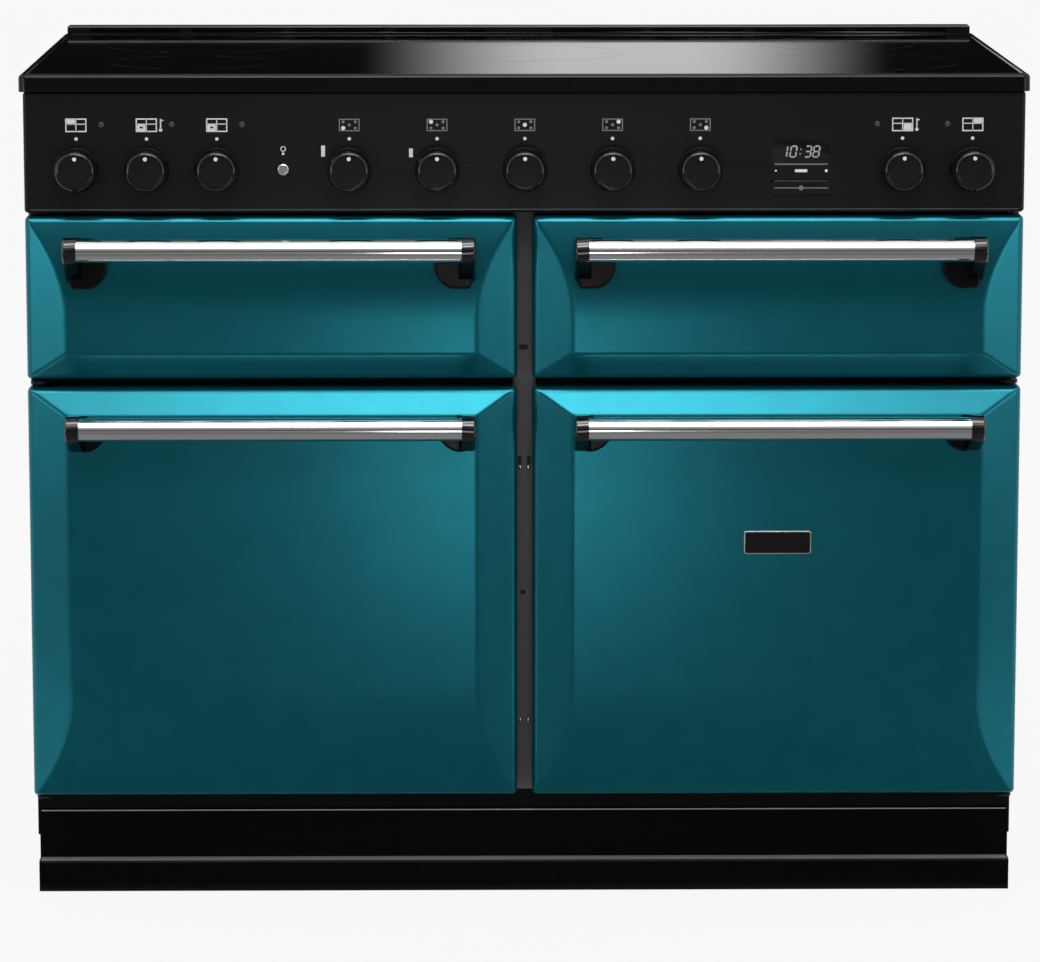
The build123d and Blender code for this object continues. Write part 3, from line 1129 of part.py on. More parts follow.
# Fan motors: a can and a flange on the back of each oven, with a bore for the shaft
with BuildPart() as fan_motors:
    with BuildSketch(front_plane(motor_front)):
        with Locations((-COLUMN_X, FAN_Z), (COLUMN_X, FAN_Z)):
            Circle(MOTOR_FLANGE_RADIUS)
    extrude(amount=-MOTOR_FLANGE)
    with BuildSketch(front_plane(motor_front)):
        with Locations((-COLUMN_X, FAN_Z), (COLUMN_X, FAN_Z)):
            Circle(MOTOR_RADIUS)
    extrude(amount=-MOTOR_LENGTH)
    can_backs = fan_motors.faces().filter_by(Plane.XZ).group_by(Axis.Y)[-1]
    fillet(can_backs.edges(), MOTOR_FLANGE)
    with BuildSketch(front_plane(motor_front)):
        with Locations((-COLUMN_X, FAN_Z), (COLUMN_X, FAN_Z)):
            Circle(SHAFT_RADIUS + RUN_FIT)
    extrude(amount=-(shaft_end + HOLE_FIT - motor_front), mode=Mode.SUBTRACT)
fan_motors.part.label = "fan_motors"
export_step(fan_motors.part, "parts/fan_motors.step")

# Fan baffles: shallow trays over the fans with an intake rose and outlets along two sides
baffle_width = CAVITY_WIDTH - 2 * BAFFLE_MARGIN
baffle_height = LOWER_CAVITY_HEIGHT - 2 * BAFFLE_MARGIN
outlet_pitch = (baffle_height - 2 * OUTLET_END) / OUTLETS
outlet_length = outlet_pitch - OUTLET_BRIDGE
with BuildPart() as fan_baffles:
    for side in (-1, 1):
        with BuildSketch(front_plane(BAFFLE_Y)):
            with Locations((side * COLUMN_X, FAN_Z)):
                RectangleRounded(baffle_width, baffle_height, BAFFLE_CORNER)
        extrude(amount=-BAFFLE_DEPTH)
    for side in (-1, 1):
        with BuildSketch(front_plane(BAFFLE_Y + BAFFLE_SHEET)):
            with Locations((side * COLUMN_X, FAN_Z)):
                inner_width = baffle_width - 2 * BAFFLE_SHEET
                inner_height = baffle_height - 2 * BAFFLE_SHEET
                RectangleRounded(inner_width, inner_height, BAFFLE_CORNER - BAFFLE_SHEET)
        extrude(amount=-BAFFLE_DEPTH, mode=Mode.SUBTRACT)
        with BuildSketch(front_plane(BAFFLE_Y)):
            with Locations((side * COLUMN_X, FAN_Z)):
                for ring_radius, count in INTAKE_RINGS:
                    with PolarLocations(ring_radius, count):
                        SlotOverall(2 * INTAKE_SLOT, INTAKE_SLOT)
        extrude(amount=-BAFFLE_SHEET, mode=Mode.SUBTRACT)
        with BuildSketch(Plane.YZ.offset(side * COLUMN_X - baffle_width / 2)):
            with Locations((ring_y, FAN_Z)):
                with GridLocations(0, outlet_pitch, 1, OUTLETS):
                    SlotOverall(outlet_length, INTAKE_SLOT, rotation=90)
        extrude(amount=baffle_width, mode=Mode.SUBTRACT)
fan_baffles.part.label = "fan_baffles"
export_step(fan_baffles.part, "parts/fan_baffles.step")

# Shelf ladders: bent wire runners hung on pads along both side walls of an oven
ladder_front = FRAME_BACK_Y + LADDER_INSET
ladder_back = BAFFLE_Y - LADDER_INSET
ladder_length = ladder_back - ladder_front
LADDERS = (
    (-1, LOWER_CAVITY_BOTTOM, OVEN_RUNGS),
    (1, LOWER_CAVITY_BOTTOM, OVEN_RUNGS),
    (1, UPPER_CAVITY_BOTTOM, SLOW_RUNGS),
)
ladder_reach = CAVITY_WIDTH / 2 - LADDER_OFFSET
post_places = (ladder_front + LADDER_INSET, ladder_back - LADDER_INSET)
with BuildPart() as shelf_ladders:
    for side, floor, rungs in LADDERS:
        for wall in (-1, 1):
            rung_x = side * COLUMN_X + wall * ladder_reach
            post_x = rung_x + wall * POST_OFFSET
            with BuildSketch(front_plane(ladder_front)):
                with Locations(*[(rung_x, floor + rung) for rung in rungs]):
                    Circle(WIRE_RADIUS)
            extrude(amount=-ladder_length)
            with BuildSketch(Plane.XY.offset(floor + rungs[0] - WIRE_RADIUS)):
                with Locations(*[(post_x, post_y) for post_y in post_places]):
                    Circle(WIRE_RADIUS)
            extrude(amount=rungs[-1] - rungs[0] + 2 * WIRE_RADIUS)
            with BuildSketch(Plane.YZ.offset(post_x)):
                pads = [(post_y, floor + rung) for post_y in post_places for rung in (rungs[0], rungs[-1])]
                with Locations(*pads):
                    Circle(LADDER_PAD)
            extrude(amount=wall * (LADDER_OFFSET - POST_OFFSET))
shelf_ladders.part.label = "shelf_ladders"
export_step(shelf_ladders.part, "parts/shelf_ladders.step")

# Oven shelves: wire grids whose side wires rest on the ladder rungs
shelf_reach = ladder_reach - SHELF_INSET
shelf_rise = ((2 * WIRE_RADIUS) ** 2 - SHELF_INSET**2) ** 0.5 + WIRE_REST
shelf_front = ladder_front + LADDER_INSET
shelf_depth = ladder_length - 2 * LADDER_INSET
wire_pitch = 2 * shelf_reach / (RACK_WIRES + 1)
SHELVES = tuple((side, LOWER_CAVITY_BOTTOM + rung) for side in (-1, 1) for rung in OVEN_SHELF_RUNGS)
SHELVES = SHELVES + ((1, UPPER_CAVITY_BOTTOM + SLOW_RUNGS[0]),)
with BuildPart() as oven_shelves:
    for side, rung_z in SHELVES:
        shelf_z = rung_z + shelf_rise
        left = side * COLUMN_X - shelf_reach
        with BuildSketch(Plane.YZ.offset(left)):
            with Locations((shelf_front, shelf_z), (shelf_front + shelf_depth, shelf_z)):
                Circle(WIRE_RADIUS)
        extrude(amount=2 * shelf_reach)
        with BuildSketch(front_plane(shelf_front - WIRE_RADIUS)):
            with Locations((left, shelf_z), (left + 2 * shelf_reach, shelf_z)):
                Circle(WIRE_RADIUS)
        extrude(amount=-(shelf_depth + 2 * WIRE_RADIUS))
        with BuildSketch(front_plane(shelf_front)):
            with Locations((side * COLUMN_X, shelf_z)):
                with GridLocations(wire_pitch, 0, RACK_WIRES, 1):
                    Circle(RACK_WIRE)
        extrude(amount=-shelf_depth)
oven_shelves.part.label = "oven_shelves"
export_step(oven_shelves.part, "parts/oven_shelves.step")

# Grill runners: channels on the side walls of the grill that the carriage slides in
runner_front = FRAME_BACK_Y + RUNNER_INSET
runner_back = CAVITY_BACK_Y - RUNNER_INSET
runner_z = UPPER_CAVITY_BOTTOM + RUNNER_RISE
wall_reach = CAVITY_WIDTH / 2
with BuildPart() as grill_runners:
    for wall in (-1, 1):
        wall_x = -COLUMN_X + wall * wall_reach
        with BuildSketch(front_plane(runner_front)):
            with Locations((wall_x - wall * RUNNER_DEPTH / 2, runner_z)):
                Rectangle(RUNNER_DEPTH, RUNNER_HEIGHT)
            with Locations((wall_x - wall * (RUNNER_DEPTH / 2 + RUNNER_SHEET), runner_z)):
                Rectangle(RUNNER_DEPTH, RUNNER_HEIGHT - 2 * RUNNER_SHEET, mode=Mode.SUBTRACT)
        extrude(amount=-(runner_back - runner_front))
grill_runners.part.label = "grill_runners"
export_step(grill_runners.part, "parts/grill_runners.step")

# Grill carriage: two slides with ledges for the pan, joined by a front and a rear crossbar
carriage_front = LINER_BACK_Y + PLUG_PROUD
carriage_back = runner_back - CARRIAGE_REAR_GAP
slide_reach = wall_reach - RUNNER_SHEET - SLIDE_GAP
slide_height = RUNNER_HEIGHT - 2 * RUNNER_SHEET - 2 * SLIDE_GAP
slide_bottom = runner_z - slide_height / 2
ledge_inner = wall_reach - RUNNER_DEPTH - CARRIAGE_LEDGE
with BuildPart() as grill_carriage:
    for wall in (-1, 1):
        outer_x = -COLUMN_X + wall * slide_reach
        side_align = Align.MAX if wall > 0 else Align.MIN
        with BuildSketch(front_plane(carriage_front)):
            with Locations((outer_x, slide_bottom)):
                Rectangle(slide_reach - wall_reach + RUNNER_DEPTH, slide_height, align=(side_align, Align.MIN))
                Rectangle(slide_reach - ledge_inner, CARRIAGE_SHEET, align=(side_align, Align.MIN))
        extrude(amount=-(carriage_back - carriage_front))
    with BuildSketch(Plane.XY.offset(slide_bottom)):
        for cross_y in (carriage_front, carriage_back - CARRIAGE_SHEET):
            with Locations((-COLUMN_X, cross_y)):
                Rectangle(2 * ledge_inner, CARRIAGE_SHEET, align=(Align.CENTER, Align.MIN))
    extrude(amount=slide_height)
grill_carriage.part.label = "grill_carriage"
export_step(grill_carriage.part, "parts/grill_carriage.step")

# Grill pan: a drawn tray whose rim rests on the carriage ledges, with a wire trivet in it
pan_rest = slide_bottom + CARRIAGE_SHEET
pan_front = carriage_front + CARRIAGE_SHEET + PAN_GAP
pan_back = carriage_back - CARRIAGE_SHEET - PAN_GAP
pan_middle = (-COLUMN_X, (pan_front + pan_back) / 2)
pan_width = 2 * (ledge_inner - PAN_GAP)
pan_length = pan_back - pan_front
trivet_z = pan_rest - PAN_DEPTH + PAN_SHEET + TRIVET_GAP
with BuildPart() as grill_pan:
    with BuildSketch(Plane.XY.offset(pan_rest - PAN_DEPTH)):
        with Locations(pan_middle):
            RectangleRounded(pan_width, pan_length, PAN_CORNER)
    extrude(amount=PAN_DEPTH)
    with BuildSketch(Plane.XY.offset(pan_rest)):
        with Locations(pan_middle):
            RectangleRounded(pan_width + 2 * PAN_RIM, pan_length, PAN_CORNER)
    extrude(amount=PAN_SHEET)
    with BuildSketch(Plane.XY.offset(pan_rest - PAN_DEPTH + PAN_SHEET)):
        with Locations(pan_middle):
            inner_width = pan_width - 2 * PAN_SHEET
            inner_length = pan_length - 2 * PAN_SHEET
            RectangleRounded(inner_width, inner_length, PAN_CORNER - PAN_SHEET)
    extrude(amount=PAN_DEPTH, mode=Mode.SUBTRACT)
    trivet_half = pan_width / 2 - PAN_CORNER
    trivet_front = pan_front + PAN_CORNER
    trivet_back = pan_back - PAN_CORNER
    with BuildSketch(Plane.YZ.offset(-COLUMN_X - trivet_half)):
        with Locations((trivet_front, trivet_z), (trivet_back, trivet_z)):
            Circle(WIRE_RADIUS)
    extrude(amount=2 * trivet_half)
    with BuildSketch(front_plane(trivet_front)):
        with Locations((-COLUMN_X, trivet_z)):
            with GridLocations(2 * trivet_half / (TRIVET_WIRES - 1), 0, TRIVET_WIRES, 1):
                Circle(RACK_WIRE)
    extrude(amount=-(trivet_back - trivet_front))
    with BuildSketch(Plane.XY.offset(pan_rest - PAN_DEPTH + PAN_SHEET + WIRE_REST)):
        for leg_x in (-trivet_half + PAN_CORNER, trivet_half - PAN_CORNER):
            with Locations((-COLUMN_X + leg_x, trivet_front), (-COLUMN_X + leg_x, trivet_back)):
                Circle(RACK_WIRE)
    extrude(amount=TRIVET_GAP - WIRE_REST)
grill_pan.part.label = "grill_pan"
export_step(grill_pan.part, "parts/grill_pan.step")
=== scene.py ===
# Range cooker, 1100 mm wide: the visual model. Every section builds one piece of the cooker on the
# CAD frame, in the order in which it is put together. Metres, floor at zero, front towards -Y.
import json
import math

import bmesh
import bpy
from mathutils import Matrix, Vector

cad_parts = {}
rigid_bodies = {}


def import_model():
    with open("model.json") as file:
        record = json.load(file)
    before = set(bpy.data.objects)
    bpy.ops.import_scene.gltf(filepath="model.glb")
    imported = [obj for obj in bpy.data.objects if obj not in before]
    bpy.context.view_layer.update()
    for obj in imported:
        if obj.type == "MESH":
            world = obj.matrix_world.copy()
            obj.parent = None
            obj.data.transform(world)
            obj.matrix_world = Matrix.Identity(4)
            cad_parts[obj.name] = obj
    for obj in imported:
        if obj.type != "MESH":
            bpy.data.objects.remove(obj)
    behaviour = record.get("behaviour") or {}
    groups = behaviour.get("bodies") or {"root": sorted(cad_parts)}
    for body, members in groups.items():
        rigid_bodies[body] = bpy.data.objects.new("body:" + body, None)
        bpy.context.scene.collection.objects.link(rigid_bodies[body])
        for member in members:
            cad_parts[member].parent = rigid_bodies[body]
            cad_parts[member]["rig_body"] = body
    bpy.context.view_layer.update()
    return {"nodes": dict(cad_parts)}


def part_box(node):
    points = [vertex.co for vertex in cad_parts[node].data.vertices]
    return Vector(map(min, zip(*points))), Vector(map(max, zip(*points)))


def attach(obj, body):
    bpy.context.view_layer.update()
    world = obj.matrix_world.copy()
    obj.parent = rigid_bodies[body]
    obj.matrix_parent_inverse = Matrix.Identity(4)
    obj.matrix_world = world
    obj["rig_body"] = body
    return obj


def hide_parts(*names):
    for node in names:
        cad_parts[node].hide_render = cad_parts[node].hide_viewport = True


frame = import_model()


# Studio. A pale floor carries the shadow of the cooker, and a white surround closes the view. Cards
# that only gloss surfaces see keep the black front dark and lay a band of light on the hob glass.
def shader_nodes(owner):
    """The node list and the link list of a material or of the world."""
    owner.use_nodes = True
    return owner.node_tree.nodes, owner.node_tree.links


def seen_directly(nodes, links, share):
    """The share for rays of the camera and of gloss or clear surfaces, and nothing for other light."""
    path = nodes.new("ShaderNodeLightPath")
    mirrored = nodes.new("ShaderNodeMath")
    mirrored.operation = "MAXIMUM"
    either = nodes.new("ShaderNodeMath")
    either.operation = "MAXIMUM"
    scaled = nodes.new("ShaderNodeMath")
    scaled.operation = "MULTIPLY"
    scaled.inputs[1].default_value = share
    links.new(path.outputs["Is Glossy Ray"], mirrored.inputs[0])
    links.new(path.outputs["Is Transmission Ray"], mirrored.inputs[1])
    links.new(path.outputs["Is Camera Ray"], either.inputs[0])
    links.new(mirrored.outputs["Value"], either.inputs[1])
    links.new(either.outputs["Value"], scaled.inputs[0])
    return scaled.outputs["Value"]


def stage_card(name, corners, material):
    """A flat card of the studio, given by its four corners."""
    bm = bmesh.new()
    bm.faces.new([bm.verts.new(corner) for corner in corners])
    mesh = bpy.data.meshes.new(name)
    bm.to_mesh(mesh)
    bm.free()
    card = bpy.data.objects.new(name, mesh)
    mesh.materials.append(material)
    bpy.context.collection.objects.link(card)
    return card


def for_gloss_only(card):
    """Hides a card from the camera and keeps it from shading the cooker."""
    card.visible_camera = False
    card.visible_diffuse = False
    card.visible_shadow = False


def level(half, near, far, height):
    """The corners of a level card."""
    return [(-half, near, height), (half, near, height), (half, far, height), (-half, far, height)]


def upright(half, y, low, high):
    """The corners of an upright card."""
    return [(-half, y, low), (half, y, low), (half, y, high), (-half, y, high)]


def glowing(name, strength=1.0):
    """A material that only gives off light, with its nodes, its links and its shader."""
    material = bpy.data.materials.new(name)
    nodes, links = shader_nodes(material)
    shader = nodes.new("ShaderNodeEmission")
    shader.inputs["Strength"].default_value = strength
    links.new(shader.outputs["Emission"], nodes["Material Output"].inputs["Surface"])
    return material, nodes, links, shader


def own_axes(nodes, links):
    """The coordinates of a point in the frame of its own piece."""
    place = nodes.new("ShaderNodeTexCoord")
    axes = nodes.new("ShaderNodeSeparateXYZ")
    links.new(place.outputs["Object"], axes.inputs["Vector"])
    return axes.outputs


def moved_range(nodes, links, source, old, new=(0.0, 1.0)):
    """A value that is moved from an old range to a new one and held inside it."""
    mapped = nodes.new("ShaderNodeMapRange")
    mapped.inputs["From Min"].default_value, mapped.inputs["From Max"].default_value = old
    mapped.inputs["To Min"].default_value, mapped.inputs["To Max"].default_value = new
    links.new(source, mapped.inputs["Value"])
    return mapped.outputs["Result"]


def colour_ramp(nodes, links, source, stops, interpolation="LINEAR"):
    """A ramp through stops, each a position with a colour."""
    ramp = nodes.new("ShaderNodeValToRGB")
    ramp.color_ramp.interpolation = interpolation
    elements = ramp.color_ramp.elements
    for index, (position, colour) in enumerate((stops[0], stops[-1])):
        elements[index].position = position
        elements[index].color = (*colour, 1.0)
    for position, colour in stops[1:-1]:
        elements.new(position).color = (*colour, 1.0)
    links.new(source, ramp.inputs["Fac"])
    return ramp.outputs["Color"]


def greys(*stops):
    """Stops of a ramp, each given as a position and a shade of grey."""
    return [(position, (shade, shade, shade)) for position, shade in stops]


world = bpy.data.worlds.new("studio")
bpy.context.scene.world = world
nodes, links = shader_nodes(world)
fill = nodes["Background"]
fill.inputs["Color"].default_value = (1.0, 1.0, 1.0, 1.0)
fill.inputs["Strength"].default_value = 0.45
white = nodes.new("ShaderNodeBackground")
white.inputs["Color"].default_value = (1.0, 1.0, 1.0, 1.0)
white.inputs["Strength"].default_value = 1.0
surround = nodes.new("ShaderNodeMixShader")
links.new(seen_directly(nodes, links, 1.0), surround.inputs["Fac"])
links.new(fill.outputs["Background"], surround.inputs[1])
links.new(white.outputs["Background"], surround.inputs[2])
links.new(surround.outputs["Shader"], nodes["World Output"].inputs["Surface"])

FLOOR_GLOW = 0.89
floor_white = bpy.data.materials.new("floor_white")
nodes, links = shader_nodes(floor_white)
paper = nodes["Principled BSDF"]
paper.inputs["Base Color"].default_value = (0.93, 0.93, 0.93, 1.0)
paper.inputs["Roughness"].default_value = 0.9
glow = nodes.new("ShaderNodeEmission")
glow.inputs["Strength"].default_value = 1.0
lit = nodes.new("ShaderNodeMixShader")
links.new(seen_directly(nodes, links, FLOOR_GLOW), lit.inputs["Fac"])
links.new(paper.outputs["BSDF"], lit.inputs[1])
links.new(glow.outputs["Emission"], lit.inputs[2])
links.new(lit.outputs["Shader"], nodes["Material Output"].inputs["Surface"])
stage_card("floor", level(40, -40, 40, 0), floor_white)

FRONT_HALF = 6.5
FRONT_Y = -10
FRONT_TOP = 7.2
card_dark, nodes, links, dark = glowing("card_dark")
rising = moved_range(nodes, links, own_axes(nodes, links)["Z"], (1.5, FRONT_TOP), (0.07, 0.58))
links.new(rising, dark.inputs["Strength"])
for_gloss_only(stage_card("front_card", upright(FRONT_HALF, FRONT_Y, 0.01, FRONT_TOP), card_dark))

CARD_RISE = 0.003
CARDS_MEET = -1.1
card_grey, nodes, links, grey = glowing("card_grey")
axes = own_axes(nodes, links)
aside = nodes.new("ShaderNodeMath")
aside.operation = "ABSOLUTE"
links.new(axes["X"], aside.inputs[0])
outwards = moved_range(nodes, links, aside.outputs["Value"], (0.0, FRONT_HALF))
shades = greys((0.2, 0.19), (0.28, 0.13), (0.4, 0.13), (0.52, 0.85))
links.new(colour_ramp(nodes, links, outwards, shades), grey.inputs["Color"])
inwards = moved_range(nodes, links, axes["Y"], (-6.5, -2.5), (1.6, 0.85))
links.new(inwards, grey.inputs["Strength"])
far_floor = level(FRONT_HALF, FRONT_Y, CARDS_MEET, CARD_RISE)
for_gloss_only(stage_card("far_floor_card", far_floor, card_grey))

near_floor = [(-0.7, CARDS_MEET), (0.7, CARDS_MEET), (0.58, -0.25), (-0.58, -0.25)]
near_floor = [(x, y, CARD_RISE) for x, y in near_floor]
for_gloss_only(stage_card("near_floor_card", near_floor, glowing("card_pale", 0.22)[0]))

overhead = level(1.3, -1.8, -0.8, 3.2)
for_gloss_only(stage_card("overhead_card", overhead, glowing("card_bright", 7.0)[0]))

BACK_HALF = 2.5
card_graded, nodes, links, graded = glowing("card_graded")
across = moved_range(nodes, links, own_axes(nodes, links)["X"], (-BACK_HALF, BACK_HALF))
band = greys((0.45, 0.005), (0.525, 0.78), (0.56, 0.78), (0.632, 0.005))
links.new(colour_ramp(nodes, links, across, band, "EASE"), graded.inputs["Color"])
for_gloss_only(stage_card("back_card", upright(BACK_HALF, 2.6, 0.93, 3.2), card_graded))


def softbox(name, place, target, size, power, spread=180.0):
    """A wide area lamp that faces a target point; a grid on it keeps its light within the spread."""
    light = bpy.data.lights.new(name, "AREA")
    light.shape = "RECTANGLE"
    light.size, light.size_y = size
    light.energy = power
    light.spread = math.radians(spread)
    lamp = bpy.data.objects.new(name, light)
    lamp.location = place
    lamp.visible_camera = False
    lamp.rotation_euler = (Vector(target) - Vector(place)).to_track_quat("-Z", "Y").to_euler()
    bpy.context.collection.objects.link(lamp)


softbox("key_softbox", (0.2, -3.6, 4.1), (0.0, -0.3, 0.55), (4.2, 1.0), 24.0)
softbox("middle_softbox", (0.0, -3.5, 4.0), (0.0, -0.3, 0.55), (1.25, 0.95), 30.0)
softbox("left_softbox", (-4.1, -4.0, 0.75), (-0.4, -0.3, 0.6), (1.2, 1.3), 17.0)
softbox("right_softbox", (4.1, -4.0, 0.75), (0.4, -0.3, 0.6), (1.2, 1.3), 15.0)
softbox("low_front_lamp", (0.0, -2.2, 0.24), (0.0, -0.3, 0.5), (0.36, 0.46), 0.35, 90.0)

CAMERA_TILT = 8.97
CAMERA_TURN = -0.637
lens = bpy.data.cameras.new("product_camera")
lens.lens = 163.7
lens.sensor_width = 36.0
lens.sensor_fit = "HORIZONTAL"
lens.shift_y = -0.06
camera = bpy.data.objects.new("product_camera", lens)
camera.location = (-0.0623, -5.392, 1.351)
camera.rotation_euler = (math.radians(90.0 - CAMERA_TILT), 0.0, math.radians(CAMERA_TURN))
bpy.context.collection.objects.link(camera)
bpy.context.scene.camera = camera
bpy.context.scene.view_settings.view_transform = "Standard"


# Base frame: zinc plated steel angle, welded into a rectangle that carries everything else. The four
# levelling feet are moulded plastic on threaded steel stems.
NOISE_RANGE = (0.3, 0.7)
CREASE = 32.0
SOFT_CREASE = 40.0
PRESSED_CREASE = 50.0
SEAM = 2e-6


def finish(name, colour, roughness, metallic=0.0, specular=0.5, coat=0.0, coat_roughness=0.04):
    """A new surface finish, its even values set on the shader itself."""
    material = bpy.data.materials.new(name)
    material.use_nodes = True
    shader = material.node_tree.nodes["Principled BSDF"]
    shader.inputs["Base Color"].default_value = (*colour, 1.0)
    shader.inputs["Roughness"].default_value = roughness
    shader.inputs["Metallic"].default_value = metallic
    shader.inputs["Specular IOR Level"].default_value = specular
    shader.inputs["Coat Weight"].default_value = coat
    shader.inputs["Coat Roughness"].default_value = coat_roughness
    return material


def pattern(material, kind, scale, stretch=(1.0, 1.0, 1.0), output="Fac"):
    """A texture in the piece's own coordinates, drawn out along the axes with a small stretch."""
    nodes, links = shader_nodes(material)
    place = nodes.new("ShaderNodeTexCoord")
    mapping = nodes.new("ShaderNodeMapping")
    mapping.inputs["Scale"].default_value = stretch
    texture = nodes.new(f"ShaderNodeTex{kind}")
    texture.inputs["Scale"].default_value = scale
    links.new(place.outputs["Object"], mapping.inputs["Vector"])
    links.new(mapping.outputs["Vector"], texture.inputs["Vector"])
    return texture.outputs[output]


def vary_roughness(material, source, smooth, rough):
    """Lets a texture move the roughness between two values."""
    nodes, links = shader_nodes(material)
    moved = moved_range(nodes, links, source, NOISE_RANGE, (smooth, rough))
    links.new(moved, nodes["Principled BSDF"].inputs["Roughness"])


def vary_colour(material, source, dark, light, start=0.35, end=0.65):
    """Lets a texture move the base colour between two colours."""
    nodes, links = shader_nodes(material)
    ramp = colour_ramp(nodes, links, source, [(start, dark), (end, light)])
    links.new(ramp, nodes["Principled BSDF"].inputs["Base Color"])


def relief(material, source, depth):
    """Raises the surface a little where a texture is light."""
    nodes, links = shader_nodes(material)
    bump = nodes.new("ShaderNodeBump")
    bump.inputs["Distance"].default_value = depth
    links.new(source, bump.inputs["Height"])
    links.new(bump.outputs["Normal"], nodes["Principled BSDF"].inputs["Normal"])


def grain(material, scale, smooth, rough, stretch=(1.0, 1.0, 1.0)):
    """Noise in the roughness, between two values."""
    vary_roughness(material, pattern(material, "Noise", scale, stretch), smooth, rough)


def ripple(material, scale, depth):
    """A fine unevenness of the surface."""
    relief(material, pattern(material, "Noise", scale), depth)


def dress(node, material):
    """Gives a CAD node a finish."""
    for slot in frame["nodes"][node].material_slots:
        slot.material = material


def piece(name, bm, materials, body, nodes=(), sharp=CREASE):
    """Writes a finished mesh as a piece that rides on a body and stands for CAD nodes."""
    mesh = bpy.data.meshes.new(name)
    bm.to_mesh(mesh)
    bm.free()
    for material in materials:
        mesh.materials.append(material)
    mesh.shade_smooth()
    mesh.set_sharp_from_angle(angle=math.radians(sharp))
    made = bpy.data.objects.new(name, mesh)
    bpy.context.collection.objects.link(made)
    shading = made.modifiers.new("even_shading", "WEIGHTED_NORMAL")
    shading.keep_sharp = True
    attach(made, body)
    if nodes:
        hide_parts(*nodes)
    return made


def merged_mesh(node):
    """A CAD node's mesh with its faces joined along their edges."""
    bm = bmesh.new()
    bm.from_mesh(frame["nodes"][node].data)
    bmesh.ops.remove_doubles(bm, verts=bm.verts, dist=SEAM)
    for face in bm.faces:
        face.material_index = 0
    return bm


def worked_copy(node, material, sharp=CREASE):
    """A CAD node's mesh, merged and with its round faces shaded smooth, in place of the node."""
    bm = merged_mesh(node)
    body = frame["nodes"][node]["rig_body"]
    return piece(f"{node}_worked", bm, [material], body, [node], sharp)


zinc = finish("zinc_plate", (0.45, 0.46, 0.47), 0.42, metallic=1.0)
spangle = pattern(zinc, "Voronoi", 90.0, output="Distance")
vary_roughness(zinc, spangle, 0.3, 0.55)
ripple(zinc, 260.0, 0.00006)
dress("base_frame", zinc)

foot_black = finish("foot_plastic", (0.02, 0.02, 0.021), 0.6)
grain(foot_black, 900.0, 0.5, 0.75)
ripple(foot_black, 1400.0, 0.00008)
worked_copy("levelling_feet", foot_black)


# Cabinet: powder coated side panels, folded at the front and the rear, and a zinc plated back panel,
# all screwed to the base frame. The front frame is one stamping round the four openings: its stile is
# grey, and its rails are near black, painted shade for the dark gaps between and under the doors.
black_powder_and_slot_shade = finish("black_powder_and_slot_shade", (0.011, 0.011, 0.012), 0.5, specular=0.35)
grain(black_powder_and_slot_shade, 700.0, 0.42, 0.6)
ripple(black_powder_and_slot_shade, 1900.0, 0.00005)
worked_copy("side_panels", black_powder_and_slot_shade)
worked_copy("back_panel", zinc)

frame_grey = finish("frame_grey", (0.11, 0.105, 0.105), 0.42, specular=0.4)
grain(frame_grey, 500.0, 0.34, 0.52)
ripple(frame_grey, 1500.0, 0.00004)
# Near black painted shade for the rails in the gaps between and under the doors.
rail_painted_shade = finish("rail_painted_shade", (0.002, 0.002, 0.0021), 0.5, specular=0.12)
grain(rail_painted_shade, 500.0, 0.42, 0.6)
FLAT = 1e-6
X_AXIS = (1.0, 0.0, 0.0)
Y_AXIS = (0.0, 1.0, 0.0)
Z_AXIS = (0.0, 0.0, 1.0)
SHADED_RAIL_BANDS = ((0.0, 0.1135), (0.5745, 0.5865), (0.7655, 1.0))
STILE_HALF = 0.0125
bm = merged_mesh("front_frame")
cuts = [((0.0, 0.0, height), Z_AXIS) for band in SHADED_RAIL_BANDS for height in band]
cuts += [((side * STILE_HALF, 0.0, 0.0), X_AXIS) for side in (-1, 1)]
for point, normal in cuts:
    mesh_parts = bm.verts[:] + bm.edges[:] + bm.faces[:]
    bmesh.ops.bisect_plane(bm, geom=mesh_parts, dist=FLAT, plane_co=point, plane_no=normal)
# Rail faces beside the stile, and the whole foot rail, take the near black painted shade.
for face in bm.faces:
    middle = face.calc_center_median()
    on_shaded_rail = any(low < middle.z < high for low, high in SHADED_RAIL_BANDS)
    at_foot = middle.z < SHADED_RAIL_BANDS[0][1]
    if on_shaded_rail and (abs(middle.x) > STILE_HALF or at_foot):
        face.material_index = 1
piece(
    "front_frame_worked",
    bm,
    [frame_grey, rail_painted_shade],
    "cooker",
    ["front_frame"],
)


# Ovens: four liners drawn from steel and coated with speckled vitreous enamel, wrapped in mineral wool
# with a foil face. A woven seal runs round each opening, and steel lugs carry the door pins.
oven_enamel = finish("oven_enamel", (0.02, 0.021, 0.024), 0.24, coat=0.25)
flecks = pattern(oven_enamel, "Noise", 620.0)
vary_colour(oven_enamel, flecks, (0.014, 0.015, 0.018), (0.11, 0.115, 0.125), 0.6, 0.72)
ripple(oven_enamel, 140.0, 0.00015)
for node in ("grill_liner", "slow_oven_liner", "left_oven_liner", "right_oven_liner"):
    worked_copy(node, oven_enamel)

wool = finish("mineral_wool", (0.5, 0.46, 0.34), 0.95, specular=0.1)
fibres = pattern(wool, "Noise", 120.0, (1.0, 0.2, 1.0))
vary_colour(wool, fibres, (0.36, 0.31, 0.2), (0.62, 0.58, 0.45))
relief(wool, fibres, 0.0015)
dress("oven_insulation", wool)

seal_black = finish("woven_seal", (0.03, 0.03, 0.031), 0.8, specular=0.2)
weave = pattern(seal_black, "Wave", 260.0, (1.0, 0.3, 1.0))
vary_colour(seal_black, weave, (0.015, 0.015, 0.016), (0.07, 0.07, 0.072))
relief(seal_black, weave, 0.0004)
worked_copy("door_seals", seal_black)
